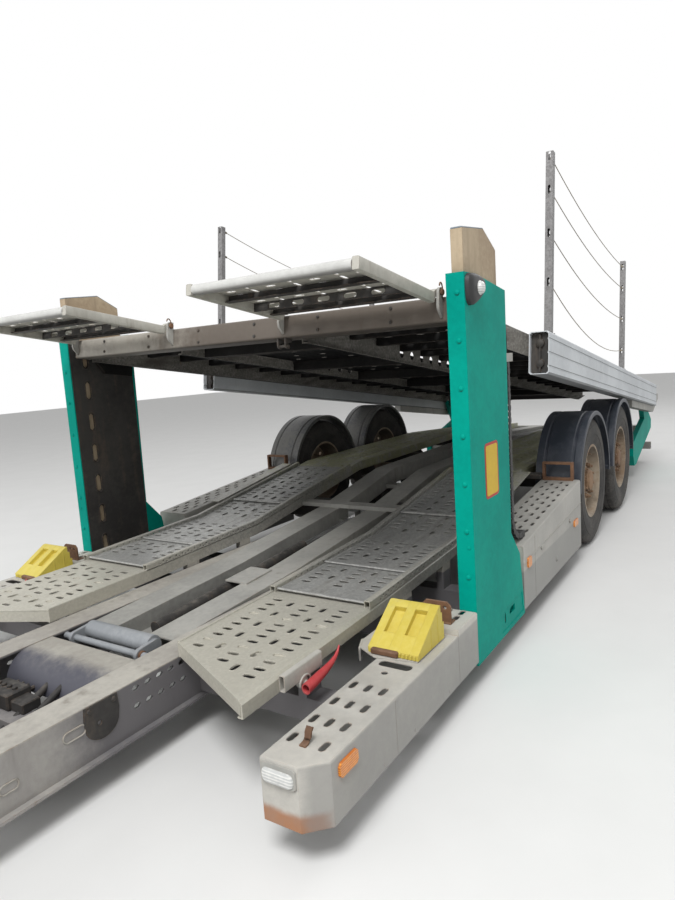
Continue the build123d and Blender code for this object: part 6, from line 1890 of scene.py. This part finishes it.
def addHose(name, points, radius):
    # a hose fixed at both ends, on one smooth line through its control points
    curve = smoothLine(name, points, 10)
    curve.bevel_depth = radius
    curve.bevel_resolution = 3
    curve.use_fill_caps = True
    curve.materials.append(finishes["hoseRubber"])
    hose = bpy.data.objects.new(name, curve)
    scene.collection.objects.link(hose)
    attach(hose, "chassis")
    # a mesh of the drawn line, made and removed again
    probe = bpy.data.objects.new(name + "Line", smoothLine(name + "Line", points, 24))
    mesh = bpy.data.meshes.new_from_object(probe)
    bpy.data.objects.remove(probe)
    bpy.data.meshes.remove(mesh)


# hoses loop from the valve's fittings over to the box, resting on the plate between
valveX = drawbarLook["valve"][0]
hoseRadius = 0.0036
hoseTable = {
    "valve_hose_a": [(valveX - 0.045, 0.0005, 0.1700), (valveX - 0.045, 0.030, 0.1700),
                     (valveX - 0.044, 0.095, 0.1720), (valveX - 0.020, 0.158, 0.1760),
                     (valveX + 0.022, 0.188, 0.1820), (valveX + 0.062, 0.184, 0.1880),
                     (valveX + 0.082, 0.158, 0.1900), (valveX + 0.082, 0.1305, 0.1900)],
    "valve_hose_b": [(valveX - 0.015, 0.0005, 0.1700), (valveX - 0.015, 0.028, 0.1710),
                     (valveX - 0.012, 0.060, 0.1760), (valveX - 0.001, 0.085, 0.1830),
                     (valveX + 0.016, 0.095, 0.1880), (valveX + 0.0348, 0.095, 0.1890)],
}

# manifold on the cross member, with its row of screwed unions and two hoses forward to the valve
manifoldLook = {"rear": post + 1.130, "front": post + 1.228, "low": 0.1903, "high": 0.252,
                "y": (-0.205, -0.055)}
look = manifoldLook
shape = bmesh.new()
addBox(shape, (look["rear"], look["y"][0], look["low"]), (look["front"], look["y"][1], look["high"]), 0.005)
for k in range(4):
    y = look["y"][0] + 0.024 + 0.034 * k
    addLathe(shape, (look["rear"] + 0.001, y, 0.226), (-1, 0, 0),
             [(0, 0.011), (0.012, 0.011), (0.013, 0.008), (0.026, 0.008), (0.027, 0.006)], 6)
    addLathe(shape, (look["rear"] + 0.050, y, look["high"] - 0.001), (0, 0, 1),
             [(0, 0.010), (0.010, 0.010), (0.012, 0.006)], 12)
addBox(shape, (look["rear"] + 0.012, look["y"][1] - 0.001, look["low"]),
       (look["front"] - 0.012, look["y"][1] + 0.075, look["low"] + 0.040), 0.004)
finishPiece(shape, "manifold", "chassis", "darkSteel")
for k, y in enumerate((-0.165, -0.110)):
    hoseTable["feed_hose_%d" % (k + 1)] = [
        (look["front"] + 0.0003, y, 0.2120), (look["front"] + 0.022, y, 0.2120),
        (look["front"] + 0.050, y, 0.2100), (look["front"] + 0.074, y, 0.1960), (post + 1.3247, y, 0.1800)]
for name, points in hoseTable.items():
    addHose(name, points, hoseRadius)
print("drawbar dressed")

# Finishes of the solids, the ones that stay and the ones that pieces stand in for
nodeFinishes = {
    "framePaint": ("main_frame",),
    "greyPaint": ("spine_rails", "tail_frame", "drawbar_nose", "jack_tube", "deck_front_beam",
                  "deck_edge_rails", "flap_ears", "chain_bracket"),
    "trackZinc": ("lower_tracks", "wheel_guides", "flap_left", "flap_right"),
    "plateZinc": ("track_plates",),
    "rustySteel": ("guard_frames", "chock_lugs"),
    "darkSteel": ("track_bearers", "guide_plates", "axle_front", "axle_rear", "hangers", "trailing_arms",
                  "towing_eye", "jack_leg", "cylinder_barrel", "valve_block", "pivot_brackets"),
    "boxPaint": ("front_boxes", "rear_boxes", "track_clamps"),
    "greenPaint": ("posts", "rear_arms"),
    "mastPaint": ("mast_left", "mast_right"),
    "bagRubber": ("air_bags",),
    "guardPlastic": ("mudguards",),
    "redLens": ("tail_lamps",),
    "rollerPaint": ("front_roller",),
    "bowPaint": ("bowed_plate",),
    "polishedRod": ("cylinder_rod",),
    "deckZinc": ("deck_tracks",),
    "shadeAndSootSteel": ("deck_cross_members", "deck_carriages"),
    "whiteBeam": ("side_beams",),
    "brightZinc": ("stanchions",),
    "yellowPaint": ("wheel_chocks",),
    "whiteLens": ("marker_lamps",),
    "amberLens": ("side_lamps",),
    "redLever": ("clamp_levers",),
    "blackPlastic": ("hose_chain",),
}
finishOf = {name: finish for finish, names in nodeFinishes.items() for name in names}
for name, node in nodes.items():
    finish = finishes[finishOf.get(name) or ("tyreRubber" if name.startswith("tyre") else "rimPaint")]
    if not node.material_slots:
        node.data.materials.append(finish)
    for socket in node.material_slots:
        socket.material = finish
print("solids finished")


# Stage: pale floor, soft lamps, white surroundings
def addFloor():
    mesh = bpy.data.meshes.new("floor")
    half = 30.0
    mesh.from_pydata([(-half, -half, 0), (half, -half, 0), (half, half, 0), (-half, half, 0)], [],
                     [(0, 1, 2, 3)])
    floor = bpy.data.objects.new("floor", mesh)
    scene.collection.objects.link(floor)
    stage = Finish("floor")
    fine = stage.noise(3.0, 3.0)
    floor.data.materials.append(stage.close(stage.blend(fine, (0.74, 0.74, 0.73), (0.80, 0.80, 0.79)), 0.9))


def addLight(name, place, target, size, power):
    data = bpy.data.lights.new(name, "AREA")
    data.shape = "DISK"
    data.size = size
    data.energy = power
    lamp = bpy.data.objects.new(name, data)
    way = Vector(target) - Vector(place)
    lamp.matrix_world = Matrix.Translation(Vector(place)) @ way.to_track_quat("-Z",
                                                                              "Y").to_matrix().to_4x4()
    scene.collection.objects.link(lamp)


lampTable = {
    "keyLight": {"place": (7.0, 2.5, 9.5), "size": 4.5, "power": 840.0},
    "fillLight": {"place": (9.0, -6.0, 4.0), "size": 6.0, "power": 200.0},
    "backLight": {"place": (-9.0, 3.0, 8.0), "size": 6.0, "power": 200.0},
}
addFloor()
for name, lamp in lampTable.items():
    addLight(name, lamp["place"], (0, 0, 0.8), lamp["size"], lamp["power"])


def addSurroundings(strength, tint):
    # plain light all round, and white wherever the camera, gloss or glass looks past the trailer
    world = bpy.data.worlds.new("surroundings")
    scene.world = world
    sky = Finish("surroundings", world)
    ray = sky.node("ShaderNodeLightPath", output="Is Camera Ray")
    seen = ray
    for kind in ("Is Transmission Ray", "Is Glossy Ray"):
        other = Term(sky, ray.socket.node.outputs[kind])
        seen = sky.node("ShaderNodeMath", {"operation": "MAXIMUM"}, {0: seen, 1: other})
    plain = sky.node("ShaderNodeBackground", sockets={0: (*tint, 1.0), 1: strength})
    white = sky.node("ShaderNodeBackground", sockets={0: (1.0, 1.0, 1.0, 1.0), 1: 1.0})
    mixed = sky.node("ShaderNodeMixShader", sockets={0: seen, 1: plain, 2: white})
    sky.node("ShaderNodeOutputWorld", sockets={0: mixed})


addSurroundings(0.48, (1.0, 1.0, 1.0))
scene.view_settings.view_transform = "Standard"
print("stage lit")
